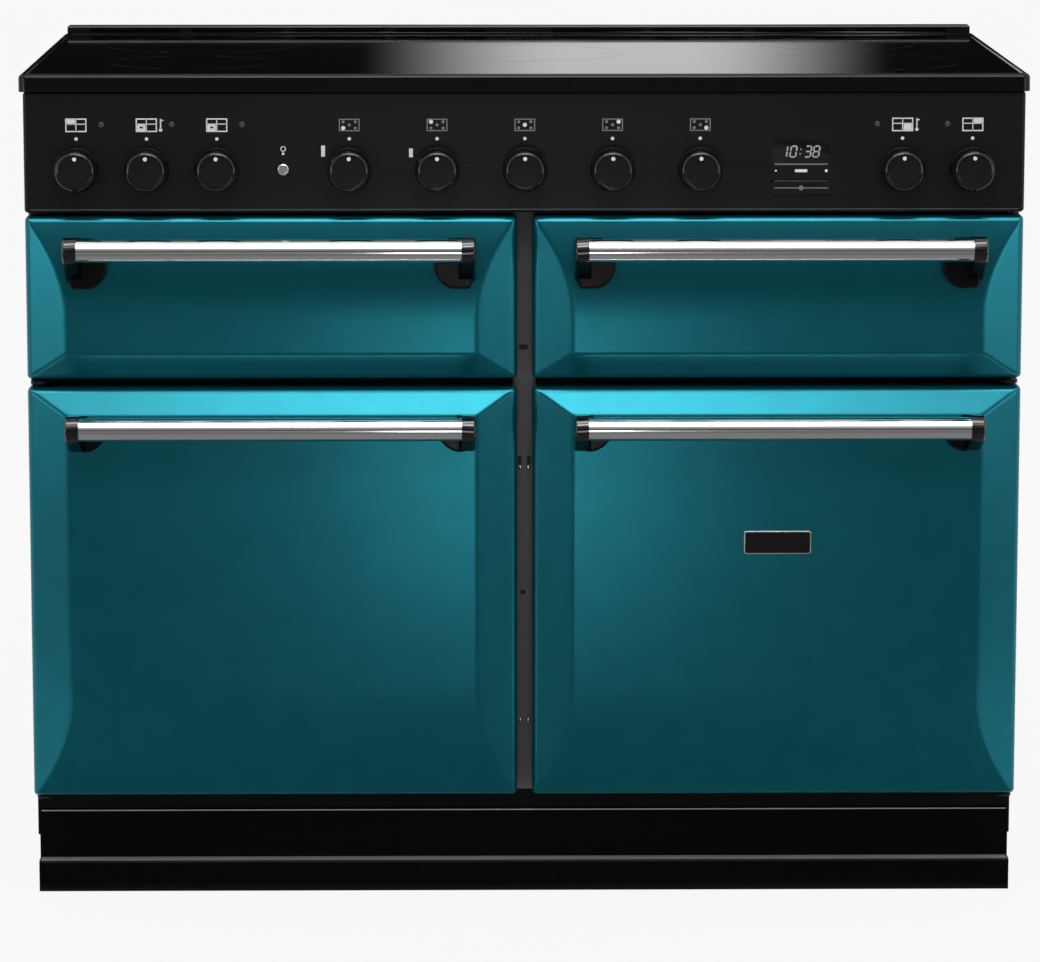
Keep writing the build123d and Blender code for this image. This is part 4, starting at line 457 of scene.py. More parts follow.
# The door lugs are near black, painted shade for the gaps at the door ends where they show.
hinge_painted_shade = finish("hinge_painted_shade", (0.012, 0.012, 0.0125), 0.45, metallic=0.4, specular=0.3)
grain(hinge_painted_shade, 600.0, 0.38, 0.55)
worked_copy("door_hardware", hinge_painted_shade)


# Oven fittings: chromed wire ladders and shelves, sheathed elements, and a pressed fan with a baffle
# and a motor behind each large oven. All of them hook or screw to the liners.
wire_chrome = finish("wire_chrome", (0.62, 0.63, 0.64), 0.2, metallic=1.0)
grain(wire_chrome, 240.0, 0.14, 0.3)
worked_copy("shelf_ladders", wire_chrome)
worked_copy("oven_shelves", wire_chrome)

sheath = finish("element_sheath", (0.16, 0.15, 0.14), 0.5, metallic=0.8)
heat_tint = pattern(sheath, "Noise", 30.0)
vary_colour(sheath, heat_tint, (0.08, 0.075, 0.08), (0.26, 0.21, 0.16))
grain(sheath, 600.0, 0.4, 0.65)
worked_copy("heating_elements", sheath)

fan_steel = finish("fan_steel", (0.5, 0.51, 0.52), 0.34, metallic=1.0)
grain(fan_steel, 300.0, 0.24, 0.46, (1.0, 1.0, 0.1))
for node in ("left_oven_fan", "right_oven_fan"):
    worked_copy(node, fan_steel)
worked_copy("fan_baffles", oven_enamel)
worked_copy("fan_motors", zinc)


# Hob: a folded black enamel surround holds one sheet of black glass ceramic, and a slotted trim lets
# the cooling air out at the rear. Flat copper coils and two power modules sit under the glass.
enamel_black = finish("black_enamel", (0.0025, 0.0025, 0.0027), 0.16, specular=0.22)
grain(enamel_black, 60.0, 0.13, 0.2)
ripple(enamel_black, 420.0, 0.000012)
worked_copy("hob_surround", enamel_black, SOFT_CREASE)

glass_black = finish("glass_ceramic", (0.002, 0.002, 0.0022), 0.05)
grain(glass_black, 14.0, 0.03, 0.075)
ripple(glass_black, 900.0, 0.000002)
print_grey = finish("zone_print", (0.006, 0.006, 0.0063), 0.06)
grain(print_grey, 800.0, 0.04, 0.09)
GLASS_CORNER = 0.006
GLASS_CORNER_STEPS = 8
GLASS_EDGE = 0.0008
RING_STEPS = 96


def block(bm, middle, size):
    """A plain block, given by its middle and its size."""
    place = Matrix.Translation(middle) @ Matrix.Diagonal((*size, 1.0))
    bmesh.ops.create_cube(bm, size=1.0, matrix=place)


def round_off(bm, edges, offset, segments):
    """Rounds edges off."""
    bmesh.ops.bevel(
        bm, geom=edges, offset=offset, segments=segments, profile=0.5, affect="EDGES", material=-1
    )


def rounded_sheet(low, high, axis, face, corner, corner_steps, edge):
    """A flat sheet across an axis, with rounded corners and a softened edge round its face."""
    axis = "xyz".index(axis)
    bm = bmesh.new()
    block(bm, (low + high) / 2, high - low)
    through = [e for e in bm.edges if abs(e.verts[0].co[axis] - e.verts[1].co[axis]) > FLAT]
    round_off(bm, through, corner, corner_steps)
    rim = [e for e in bm.edges if all(abs(v.co[axis] - face) < FLAT for v in e.verts)]
    round_off(bm, rim, edge, 3)
    return bm


def spun_ring(bm, centre, axis, points, steps):
    """Spins an open or closed profile of points once round an axis through a centre."""
    verts = [bm.verts.new(point) for point in points]
    edges = [bm.edges.new(pair) for pair in zip(verts, verts[1:])]
    if (Vector(points[0]) - Vector(points[-1])).length < 1e-9:
        bmesh.ops.remove_doubles(bm, verts=[verts[0], verts[-1]], dist=1e-9)
        edges = [edge for edge in edges if edge.is_valid]
        verts = [vert for vert in verts if vert.is_valid]
    bmesh.ops.spin(
        bm,
        geom=verts + edges,
        cent=centre,
        axis=axis,
        angle=math.tau,
        steps=steps,
        use_merge=True,
    )


def close_mesh(bm):
    """Merges the seams of spun or mirrored faces and turns every face outwards."""
    bmesh.ops.remove_doubles(bm, verts=bm.verts, dist=1e-7)
    bmesh.ops.recalc_face_normals(bm, faces=bm.faces)


glass_low, glass_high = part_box("hob_glass")
bm = rounded_sheet(
    glass_low, glass_high, "z", glass_high.z, GLASS_CORNER, GLASS_CORNER_STEPS, GLASS_EDGE
)
piece("glass_sheet", bm, [glass_black], "cooker", ["hob_glass"])

coil_low, coil_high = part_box("induction_coils")
SMALL_ZONE = 0.09
LARGE_ZONE = 0.115
ZONE_INSET = 0.105
ZONE_OFFSET = 0.128
RING_WIDTH = 0.0016
RING_RISE = 0.00008
RING_SINK = 0.00002
zone_x = coil_high.x - ZONE_INSET
zone_y = (coil_low.y + coil_high.y) / 2
bm = bmesh.new()
for x, y, radius in (
    (-zone_x, -ZONE_OFFSET, SMALL_ZONE),
    (-zone_x, ZONE_OFFSET, LARGE_ZONE),
    (0.0, 0.0, LARGE_ZONE),
    (zone_x, ZONE_OFFSET, SMALL_ZONE),
    (zone_x, -ZONE_OFFSET, LARGE_ZONE),
):
    centre = Vector((x, zone_y + y, glass_high.z))
    outer = radius + RING_WIDTH
    ring = [(radius, 0.0), (radius, RING_RISE), (outer, RING_RISE), (outer, 0.0)]
    ring = [centre + Vector((r, 0.0, z - RING_SINK)) for r, z in ring + ring[:1]]
    spun_ring(bm, centre, Z_AXIS, ring, RING_STEPS)
close_mesh(bm)
piece("zone_rings", bm, [print_grey], "cooker")

vent_black = finish("vent_black", (0.004, 0.004, 0.0042), 0.2, specular=0.45)
brushing = pattern(vent_black, "Noise", 300.0, (0.05, 1.0, 1.0))
vary_roughness(vent_black, brushing, 0.16, 0.26)
relief(vent_black, brushing, 0.00001)
worked_copy("rear_vent", vent_black)

copper = finish("coil_copper", (0.55, 0.26, 0.13), 0.4, metallic=1.0)
winding = pattern(copper, "Wave", 160.0)
vary_colour(copper, winding, (0.2, 0.08, 0.04), (0.6, 0.3, 0.16))
relief(copper, winding, 0.0005)
dress("induction_coils", copper)
dress("power_modules", zinc)


# Control fascia: black enamelled steel with rolled edges, pierced for the spindles. Its marks are
# screen printed in white and grey beside dull red lamps, and the rotary switches clip in behind.
fascia_black = finish("fascia_enamel", (0.0055, 0.0055, 0.0058), 0.35, specular=0.24)
grain(fascia_black, 90.0, 0.335, 0.365)
ripple(fascia_black, 900.0, 0.00002)
worked_copy("fascia", fascia_black, SOFT_CREASE)

switch_plastic = finish("switch_plastic", (0.05, 0.05, 0.052), 0.5)
grain(switch_plastic, 700.0, 0.4, 0.62)
dress("control_switches", switch_plastic)

lamp_lens = finish("lamp_lens", (0.085, 0.042, 0.036), 0.3)
grain(lamp_lens, 900.0, 0.22, 0.4)
worked_copy("indicator_lamps", lamp_lens)

mark_white = finish("mark_white", (0.8, 0.8, 0.8), 0.5)
grain(mark_white, 1200.0, 0.42, 0.6)
sign_grey = finish("sign_grey", (0.21, 0.21, 0.21), 0.5)
grain(sign_grey, 1200.0, 0.42, 0.6)
fascia_low, fascia_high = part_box("fascia")
PRINT_PROUD = 0.00005
PRINT_THICKNESS = 0.0002
print_y = fascia_low.y - PRINT_PROUD
COOKER_SIGN = (0.023, 0.0148, 0.0013)
SIGN_POST = (0.001, 0.0145)
SIGN_RAIL = (0.0225, 0.001)
SIGN_RAIL_RISE = 0.0012
SIGN_DOOR_X = 0.0055
SIGN_DOOR_WIDTH = 0.009
UPPER_DOOR_RISE, UPPER_DOOR_HEIGHT = 0.0038, 0.0052
LOWER_DOOR_RISE, LOWER_DOOR_HEIGHT = -0.0026, 0.0072
WIDE_STROKE = 0.0036
FINE_STROKE = 0.0026
THERMOMETER_X = 0.0155
THERMOMETER_REACH = 0.0052
THERMOMETER_TUBE = (0.0014, 0.0115)
THERMOMETER_BULB = 0.0019
THERMOMETER_TICK = (0.0028, 0.0011)
TICK_ASIDE = 0.0017
ZONE_SIGN = (0.0225, 0.0135, 0.0011)
ZONE_PLACES = {
    "front_left_zone_knob": (-1, -1),
    "rear_left_zone_knob": (-1, 1),
    "centre_zone_knob": (0, 0),
    "rear_right_zone_knob": (1, 1),
    "front_right_zone_knob": (1, -1),
}
ZONE_STEP_X = 0.0066
ZONE_STEP_Z = 0.0034
ZONE_DOT = 0.0016
MARKED_ZONE_DOT = 0.0023
SIGN_RISE = 0.0485
MARK_RISE = 0.0335
MARK_RADIUS = 0.0019
SIDE_MARK_WIDTH = 0.0042
SIDE_MARKS = (
    ("front_left_zone_knob", 0.0286, 0.02, 0.012),
    ("rear_left_zone_knob", 0.0285, 0.018, 0.0095),
)
BULB_RISE = 0.0225
BULB_STEPS = 32
BULB_FOOT_RISE = 0.0172
BULB_FOOT = (0.0026, 0.0024)


def bar(bm, x, z, width, height, y=print_y):
    """A printed bar, given by its middle."""
    block(bm, (x, y, z), (width, PRINT_THICKNESS, height))


def dot(bm, x, z, radius, y=print_y):
    """A printed dot."""
    turn = Matrix.Translation((x, y, z)) @ Matrix.Rotation(math.pi / 2, 4, "X")
    bmesh.ops.create_cone(
        bm,
        cap_ends=True,
        segments=24,
        radius1=radius,
        radius2=radius,
        depth=PRINT_THICKNESS,
        matrix=turn,
    )


def outline(bm, x, z, width, height, stroke):
    """A printed rectangle, drawn as its four strokes."""
    for side in (-1, 1):
        bar(bm, x, z + side * (height - stroke) / 2, width, stroke)
        bar(bm, x + side * (width - stroke) / 2, z, stroke, height - 2 * stroke)


def cooker_sign(bm, x, z, column, row, thermometer, stroke=WIDE_STROKE):
    """A small front view of the cooker with one of its four doors filled in."""
    outline(bm, x, z, *COOKER_SIGN)
    bar(bm, x, z, *SIGN_POST)
    bar(bm, x, z + SIGN_RAIL_RISE, *SIGN_RAIL)
    door_x = x + column * SIGN_DOOR_X
    if row > 0:
        bar(bm, door_x, z + UPPER_DOOR_RISE, SIGN_DOOR_WIDTH, UPPER_DOOR_HEIGHT)
    else:
        outline(bm, door_x, z + LOWER_DOOR_RISE, SIGN_DOOR_WIDTH, LOWER_DOOR_HEIGHT, stroke)
    if thermometer:
        x += THERMOMETER_X
        bar(bm, x, z + SIGN_RAIL_RISE, *THERMOMETER_TUBE)
        dot(bm, x, z - THERMOMETER_REACH, THERMOMETER_BULB)
        bar(bm, x + TICK_ASIDE, z + THERMOMETER_REACH, *THERMOMETER_TICK)


def zone_sign(bm, x, z, marked):
    """A small plan of the hob in grey, with one of its five zones in white."""
    before = set(bm.faces)
    outline(bm, x, z, *ZONE_SIGN)
    for zone in ZONE_PLACES.values():
        if zone != marked:
            dot(bm, x + zone[0] * ZONE_STEP_X, z + zone[1] * ZONE_STEP_Z, ZONE_DOT)
    for face in set(bm.faces) - before:
        face.material_index = 1
    dot(bm, x + marked[0] * ZONE_STEP_X, z + marked[1] * ZONE_STEP_Z, MARKED_ZONE_DOT)


knob_nodes = (
    "grill_knob",
    "left_oven_heat_knob",
    "left_oven_mode_knob",
    "front_left_zone_knob",
    "rear_left_zone_knob",
    "centre_zone_knob",
    "rear_right_zone_knob",
    "front_right_zone_knob",
    "right_oven_heat_knob",
    "slow_oven_knob",
)
knob_x = {node: (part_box(node)[0].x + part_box(node)[1].x) / 2 for node in knob_nodes}
knob_z = (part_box("grill_knob")[0].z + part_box("grill_knob")[1].z) / 2
sign_z = knob_z + SIGN_RISE
light_low, light_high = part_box("light_button")
light_x = (light_low.x + light_high.x) / 2
bm = bmesh.new()
bulb = [(0.0021, 0.0), (0.0021, -0.0002), (0.003, -0.0002), (0.003, 0.0), (0.0021, 0.0)]
centre = Vector((light_x, print_y, knob_z + BULB_RISE))
spun_ring(bm, centre, Y_AXIS, [centre + Vector((r, y, 0.0)) for r, y in bulb], BULB_STEPS)
close_mesh(bm)
for node in knob_nodes:
    dot(bm, knob_x[node], knob_z + MARK_RISE, MARK_RADIUS)
cooker_sign(bm, knob_x["grill_knob"], sign_z, -1, 1, False)
cooker_sign(bm, knob_x["left_oven_heat_knob"], sign_z, -1, -1, True, FINE_STROKE)
cooker_sign(bm, knob_x["left_oven_mode_knob"], sign_z, -1, -1, False, FINE_STROKE)
cooker_sign(bm, knob_x["right_oven_heat_knob"], sign_z, 1, -1, True)
cooker_sign(bm, knob_x["slow_oven_knob"], sign_z, 1, 1, False)
for node, zone in ZONE_PLACES.items():
    zone_sign(bm, knob_x[node], sign_z, zone)
for node, aside, up, height in SIDE_MARKS:
    bar(bm, knob_x[node] - aside, knob_z + up, SIDE_MARK_WIDTH, height)
bar(bm, light_x, knob_z + BULB_FOOT_RISE, *BULB_FOOT)
piece("fascia_print", bm, [mark_white, sign_grey], "cooker")

# A grey line just above the fascia's lower edge is a painted highlight for the light on its rolled
# edge.
edge_highlight_grey = finish("edge_highlight_grey", (0.1, 0.105, 0.105), 0.35, metallic=0.4)
grain(edge_highlight_grey, 500.0, 0.28, 0.45, (0.1, 1.0, 1.0))
EDGE_LINE_RISE = 0.0036
EDGE_LINE_INSET = 0.006
EDGE_LINE_HEIGHT = 0.001
edge_width = fascia_high.x - fascia_low.x - 2 * EDGE_LINE_INSET
bm = bmesh.new()
bar(bm, 0.0, fascia_low.z + EDGE_LINE_RISE, edge_width, EDGE_LINE_HEIGHT)
piece("fascia_edge_highlight", bm, [edge_highlight_grey], "cooker")


# Clock: a module with a dark window set flush in the fascia, a lit four digit display, a row of small
# lights under it, and a rocker bar on two pins that sets the time.
window_black = finish("clock_window", (0.006, 0.006, 0.007), 0.1)
grain(window_black, 300.0, 0.07, 0.16)
worked_copy("clock_module", window_black)
digit_grey = finish("digit_grey", (0.42, 0.44, 0.46), 0.5)
vary_colour(digit_grey, pattern(digit_grey, "Noise", 700.0), (0.34, 0.36, 0.38), (0.5, 0.52, 0.54))
rocker_low, rocker_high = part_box("clock_rocker")
clock_x = (rocker_low.x + rocker_high.x) / 2
CLOCK_RISE = 0.019
clock_z = knob_z + CLOCK_RISE
LINE_WIDTH = 0.058
LINE_DROP = 0.0138
MARKS_DROP = 0.002
MARKS_REACH = 0.0275
DIGITS = ((-0.0185, "bc"), (-0.0085, "abcdef"), (0.0075, "abcdg"), (0.0165, "abcdefg"))
COLON_X = -0.0008
COLON_REACH = 0.0025
COLON_DOT = 0.0014
DIGIT_WIDTH = 0.0062
DIGIT_HEIGHT = 0.0118
SEGMENT = 0.0016
LEAN = 0.16
segments = {
    "a": (0.0, 1.0, True),
    "b": (0.5, 0.5, False),
    "c": (0.5, -0.5, False),
    "d": (0.0, -1.0, True),
    "e": (-0.5, -0.5, False),
    "f": (-0.5, 0.5, False),
    "g": (0.0, 0.0, True),
}
bm = bmesh.new()
for offset, lit_segments in DIGITS:
    for letter in lit_segments:
        across, up, lying = segments[letter]
        width = DIGIT_WIDTH - SEGMENT if lying else SEGMENT
        height = SEGMENT if lying else DIGIT_HEIGHT / 2 - SEGMENT * 0.6
        x = clock_x + offset + across * DIGIT_WIDTH
        bar(bm, x, clock_z + up * DIGIT_HEIGHT / 2, width, height)
for up in (-COLON_REACH, COLON_REACH):
    bar(bm, clock_x + COLON_X, clock_z + up, COLON_DOT, COLON_DOT)
for vert in bm.verts:
    vert.co.x += LEAN * (vert.co.z - clock_z)
piece("clock_digits", bm, [digit_grey], "cooker")

# A grey line under the clock window is a painted highlight for the window's lower edge; the same grey
# draws the rocker's highlight.
highlight_line_grey = finish("highlight_line_grey", (0.16, 0.16, 0.165), 0.5)
grain(highlight_line_grey, 900.0, 0.42, 0.6)
bm = bmesh.new()
bar(bm, clock_x, clock_z - LINE_DROP, LINE_WIDTH, 0.0016)
piece("clock_window_highlight", bm, [highlight_line_grey], "cooker")
bm = bmesh.new()
bar(bm, clock_x, knob_z - MARKS_DROP, 0.0135, 0.0032)
dot(bm, clock_x + MARKS_REACH, knob_z - MARKS_DROP, 0.0016)
dot(bm, clock_x - MARKS_REACH, knob_z - MARKS_DROP, 0.0011)
close_mesh(bm)
piece("clock_marks", bm, [mark_white], "cooker")

knob_black = finish("knob_black", (0.004, 0.004, 0.0042), 0.1, specular=0.4)
grain(knob_black, 140.0, 0.08, 0.13)
ripple(knob_black, 1100.0, 0.000008)
worked_copy("clock_rocker", knob_black)
# A grey line across the rocker, with a grey dot at its middle, is a painted highlight along the
# rocker's edge.
bm = bmesh.new()
rocker_z = (rocker_low.z + rocker_high.z) / 2
bar(bm, clock_x, rocker_z, LINE_WIDTH, 0.0013, rocker_low.y + 0.0007)
dot(bm, clock_x, rocker_z, 0.0028, rocker_low.y - PRINT_PROUD)
piece("rocker_highlight", bm, [highlight_line_grey], "clock_rocker")

bright_steel = finish("bright_steel", (0.66, 0.66, 0.66), 0.16, metallic=1.0)
grain(bright_steel, 420.0, 0.12, 0.24)
worked_copy("light_button", bright_steel)


# Knobs: ten turned and polished black mouldings with a skirt, a tapered grip and a well rounded face.
# Each has a white pointer dot and pushes on to the flat of its switch spindle.
SKIRT_RADIUS = 0.0245
GRIP_RADIUS = 0.0236
FACE_RADIUS = 0.022
EDGE_ROUND = 0.0046
EDGE_STEPS = 9
SPINDLE_RADIUS = 0.003
SKIRT_GAP = 0.001
SKIRT_EDGE = 0.0006
SKIRT_HEIGHT = 0.0048
GRIP_START = 0.0062
KNOB_STEPS = 72
POINTER_RISE = 0.0142
POINTER_RADIUS = 0.0022
for node in knob_nodes:
    low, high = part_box(node)
    x = knob_x[node]
    base_y = fascia_low.y - SKIRT_GAP
    axis_point = Vector((x, 0.0, knob_z))
    profile = [
        (0.0, high.y),
        (SPINDLE_RADIUS, high.y),
        (SPINDLE_RADIUS, base_y),
        (SKIRT_RADIUS - SKIRT_EDGE, base_y),
        (SKIRT_RADIUS, base_y - SKIRT_EDGE),
        (SKIRT_RADIUS, base_y - SKIRT_HEIGHT),
        (SKIRT_RADIUS - 0.0003, base_y - 0.0056),
        (GRIP_RADIUS, base_y - GRIP_START),
        (FACE_RADIUS + 0.0002, low.y + EDGE_ROUND + 0.0006),
    ]
    for step in range(EDGE_STEPS + 1):
        turn = math.radians(90.0 * step / EDGE_STEPS)
        inset = EDGE_ROUND * (1 - math.cos(turn))
        profile.append((FACE_RADIUS - inset, low.y + EDGE_ROUND * (1 - math.sin(turn))))
    profile.append((0.0, low.y))
    bm = bmesh.new()
    spun_ring(bm, axis_point, Y_AXIS, [(x + r, y, knob_z) for r, y in profile], KNOB_STEPS)
    close_mesh(bm)
    before = set(bm.faces)
    dot(bm, x, knob_z + POINTER_RISE, POINTER_RADIUS, low.y - PRINT_PROUD)
    for face in set(bm.faces) - before:
        face.material_index = 1
    piece(f"{node}_moulding", bm, [knob_black, mark_white], node, [node], SOFT_CREASE)


# Doors: each outer skin is pressed from sheet steel with a raised field, sloping sides and one long
# curve that runs out to the rim, then finished in deep teal enamel. The inner panel screws in behind.
door_teal = finish(
    "door_enamel",
    (0.0004, 0.135, 0.175),
    0.25,
    metallic=0.7,
    specular=0.1,
    coat=0.25,
    coat_roughness=0.28,
)
mottle = pattern(door_teal, "Noise", 34.0)
vary_colour(door_teal, mottle, (0.0003, 0.13, 0.169), (0.0005, 0.14, 0.181))
grain(door_teal, 120.0, 0.243, 0.257)
ripple(door_teal, 180.0, 0.000004)
FIELD_RISE = 0.016
SIDE_SLOPE = 0.0445
END_SLOPE = 0.03
RIM_ROUND = 0.006
CORNER_ROUND = 0.005
RIDGE_BLEND = 0.0013
RIM_STATIONS = [0.0, 0.0005, 0.0012, 0.002, 0.003, 0.004, 0.005, RIM_ROUND]
FINE_STEP = 0.0016
LEAST_STEP = 2e-4
RIDGE_MARGIN = 0.008
COARSE_PARTS = 24
CURVE_PARTS = 60


def soft_least(first, second):
    """The lesser of two heights, blended so that their meeting line is rounded."""
    overlap = max(RIDGE_BLEND - abs(first - second), 0.0)
    return min(first, second) - overlap * overlap / (4 * RIDGE_BLEND)


def curve_height(distance, length):
    """Height of the long curve at a distance from the rim; it meets the field without a crease."""
    if distance >= length:
        return FIELD_RISE
    radius = (FIELD_RISE**2 + length**2) / (2 * FIELD_RISE)
    return FIELD_RISE - radius + math.sqrt(radius**2 - (length - distance) ** 2)


def spaced(stations, length):
    """Stations in order, without those that lie too close to the next one."""
    stations = sorted(stations)
    return [a for a, b in zip(stations, stations[1:]) if b - a > LEAST_STEP] + [length]


def door_stations(length, ridge):
    """Distances from one rim to the other, close together at the rims and as far as the ridges."""
    fine_parts = int((ridge + RIDGE_MARGIN - RIM_ROUND) / FINE_STEP)
    near = RIM_STATIONS + [RIM_ROUND + step * FINE_STEP for step in range(1, fine_parts)]
    low_side = [d for d in near if d < length / 2]
    stations = low_side + [length - d for d in low_side]
    stations += [length * share / COARSE_PARTS for share in range(2, COARSE_PARTS - 1)]
    return spaced(stations, length)


def door_skin(node, body, curve, curve_on_top):
    """One door skin: a sheet of quads, drawn to the form of the pressing, with a folded return."""
    low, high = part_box(node)
    rim_y = low.y + FIELD_RISE
    width, height = high.x - low.x, high.z - low.z
    bends = [curve * part / CURVE_PARTS for part in range(1, CURVE_PARTS)]
    ups = door_stations(height, END_SLOPE) + [height - d if curve_on_top else d for d in bends]
    ups = spaced(ups, height)
    bm = bmesh.new()
    column = [bm.verts.new((low.x, rim_y, low.z + up)) for up in ups]
    edges = [bm.edges.new(pair) for pair in zip(column, column[1:])]
    across = door_stations(width, SIDE_SLOPE)
    for here, there in zip(across, across[1:]):
        made = bmesh.ops.extrude_edge_only(bm, edges=edges)["geom"]
        edges = [item for item in made if isinstance(item, bmesh.types.BMEdge)]
        edges = [e for e in edges if abs(e.verts[0].co.z - e.verts[1].co.z) > 1e-7]
        fresh = [item for item in made if isinstance(item, bmesh.types.BMVert)]
        bmesh.ops.translate(bm, verts=fresh, vec=(there - here, 0.0, 0.0))
    for vert in bm.verts:
        left, right = vert.co.x - low.x, high.x - vert.co.x
        bottom, top = vert.co.z - low.z, high.z - vert.co.z
        bend, slope = (top, bottom) if curve_on_top else (bottom, top)
        side = max(min(left, right), 0.0)
        end = max(min(bottom, top), 0.0)
        rise = soft_least(FIELD_RISE * side / SIDE_SLOPE, curve_height(bend, curve))
        rise = soft_least(rise, FIELD_RISE * slope / END_SLOPE)
        inset = max(RIM_ROUND - min(side, end), 0.0)
        vert.co.y = rim_y - rise + RIM_ROUND - math.sqrt(RIM_ROUND**2 - inset**2)
        if side < CORNER_ROUND and end < CORNER_ROUND:
            out_x, out_z = CORNER_ROUND - side, CORNER_ROUND - end
            pull = 1.0 - max(out_x, out_z) / math.hypot(out_x, out_z)
            vert.co.x += out_x * pull if left < right else -out_x * pull
            vert.co.z += out_z * pull if bottom < top else -out_z * pull
    rim = [edge for edge in bm.edges if edge.is_boundary]
    made = bmesh.ops.extrude_edge_only(bm, edges=rim)["geom"]
    for item in made:
        if isinstance(item, bmesh.types.BMVert):
            item.co.y = high.y
    back = [e for e in bm.edges if e.is_boundary]
    bmesh.ops.holes_fill(bm, edges=back, sides=0)
    close_mesh(bm)
    return piece(f"{node}_pressing", bm, [door_teal], body, [node], PRESSED_CREASE)


UPPER_CURVE = 0.114
LOWER_CURVE = 0.122
door_skin("grill_door_skin", "grill_drawer", UPPER_CURVE, True)
door_skin("slow_oven_door_skin", "slow_oven_door", UPPER_CURVE, True)
door_skin("left_oven_door_skin", "left_oven_door", LOWER_CURVE, False)
door_skin("right_oven_door_skin", "right_oven_door", LOWER_CURVE, False)
for oven in ("grill", "slow_oven", "left_oven", "right_oven"):
    worked_copy(f"{oven}_door_inner_panel", oven_enamel)


# Handles: a chromed steel tube that stops inside the glossy caps of two black cast brackets. They are
# bolted through the door skin, and each spreads out on it into a low black shoe, drawn as large as the
# foot and its shadow together, so part of each shoe is painted shadow.
bar_chrome = finish("bar_chrome", (0.82, 0.82, 0.82), 0.09, metallic=1.0)
polish = pattern(bar_chrome, "Noise", 500.0, (0.02, 1.0, 1.0))
vary_roughness(bar_chrome, polish, 0.07, 0.13)
bracket_black = finish("bracket_black", (0.0022, 0.0022, 0.0023), 0.24, specular=0.14)
grain(bracket_black, 120.0, 0.2, 0.29)
ripple(bracket_black, 900.0, 0.000008)
cap_black = finish("cap_black", (0.0022, 0.0022, 0.0023), 0.08, specular=0.7)
grain(cap_black, 120.0, 0.06, 0.11)
# The shoe outlines take in the bracket's foot and the shadow under it: partly real foot, partly painted
# shadow.
UPPER_SHOE_AND_SHADOW = (
    (-1, 4),
    (4, 42),
    (7, 46),
    (25, 46),
    (32, 43.5),
    (38, 39),
    (42, 33),
    (44.5, 26),
    (45.5, 18),
    (45.5, 4),
)
LOWER_SHOE_AND_SHADOW = (
    (1.5, 4),
    (2.5, 19),
    (5.5, 25.5),
    (11, 30),
    (18, 31),
    (25, 29.5),
    (32, 25.5),
    (38, 19.5),
    (41, 13),
    (41, 4),
)
CAP_REACH = 0.016
SHOE_RISE = 0.0045
SHOE_ROUND = 0.003
SHOE_SINK = 0.008
TUBE_WALL = 0.0015
TUBE_EDGE = 0.0008


def bracket_shoe(bm, end_x, inwards, bar_z, field_y, shape):
    """The spread foot of a bracket with its shadow, as one low black pad on the door skin; its outline
    is in millimetres.
    """
    back_y = field_y + SHOE_SINK
    corners = [(end_x + inwards * x / 1000, back_y, bar_z - drop / 1000) for x, drop in shape]
    back = bm.faces.new([bm.verts.new(corner) for corner in corners])
    made = bmesh.ops.extrude_face_region(bm, geom=[back], use_keep_orig=True)["geom"]
    front = [item for item in made if isinstance(item, bmesh.types.BMVert)]
    bmesh.ops.translate(bm, verts=front, vec=(0.0, -SHOE_SINK - SHOE_RISE, 0.0))
    edges = [item for item in made if isinstance(item, bmesh.types.BMEdge)]
    round_off(bm, edges, SHOE_ROUND, 4)


for oven, body in (
    ("grill", "grill_drawer"),
    ("slow_oven", "slow_oven_door"),
    ("left_oven", "left_oven_door"),
    ("right_oven", "right_oven_door"),
):
    low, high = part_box(f"{oven}_handle_bar")
    middle = (low + high) / 2
    radius = (high.z - low.z) / 2
    bore = radius - TUBE_WALL
    profile = [
        (low.x, bore),
        (low.x, radius - TUBE_EDGE),
        (low.x + 0.0003, radius - 0.0002),
        (low.x + TUBE_EDGE, radius),
        (high.x - TUBE_EDGE, radius),
        (high.x - 0.0003, radius - 0.0002),
        (high.x, radius - TUBE_EDGE),
        (high.x, bore),
        (low.x, bore),
    ]
    bm = bmesh.new()
    points = [(x, middle.y, middle.z + r) for x, r in profile]
    spun_ring(bm, middle, X_AXIS, points, RING_STEPS)
    close_mesh(bm)
    bars = [f"{oven}_handle_bar"]
    piece(f"{oven}_handle_tube", bm, [bar_chrome], body, bars, SOFT_CREASE)
    brackets = f"{oven}_handle_brackets"
    bm = merged_mesh(brackets)
    for face in bm.faces:
        spot = face.calc_center_median() - middle
        if math.hypot(spot.y, spot.z) < CAP_REACH:
            face.material_index = 1
    finishes = [bracket_black, cap_black]
    piece(f"{brackets}_worked", bm, finishes, body, [brackets], SOFT_CREASE)
    bracket_low, bracket_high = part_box(brackets)
    field_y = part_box(f"{oven}_door_skin")[0].y
    shape = UPPER_SHOE_AND_SHADOW if oven in ("grill", "slow_oven") else LOWER_SHOE_AND_SHADOW
    bm = bmesh.new()
    bracket_shoe(bm, bracket_low.x, 1, middle.z, field_y, shape)
    bracket_shoe(bm, bracket_high.x, -1, middle.z, field_y, shape)
    close_mesh(bm)
    piece(f"{oven}_bracket_shoes_and_shadows", bm, [bracket_black], body, (), SOFT_CREASE)


# Grill drawer: zinc plated runners on the liner walls, a folded carriage that slides on them behind the
# door, and an enamelled pan with a trivet that lifts out.
worked_copy("grill_runners", zinc)
worked_copy("grill_carriage", zinc)
worked_copy("grill_pan", oven_enamel)


# Plinth: an upper panel set back under the doors and a kick panel in front of it, both in black enamel
# on steel. A grey strip on the step between them is painted highlight for the light falling on the
# step, and a grey line under the top of the upper panel is painted highlight for its rounded top edge.
plinth_black = finish("plinth_enamel", (0.001, 0.001, 0.0011), 0.3, specular=0.08)
grain(plinth_black, 60.0, 0.27, 0.34)
ripple(plinth_black, 420.0, 0.000012)
worked_copy("plinth_panels", plinth_black, SOFT_CREASE)
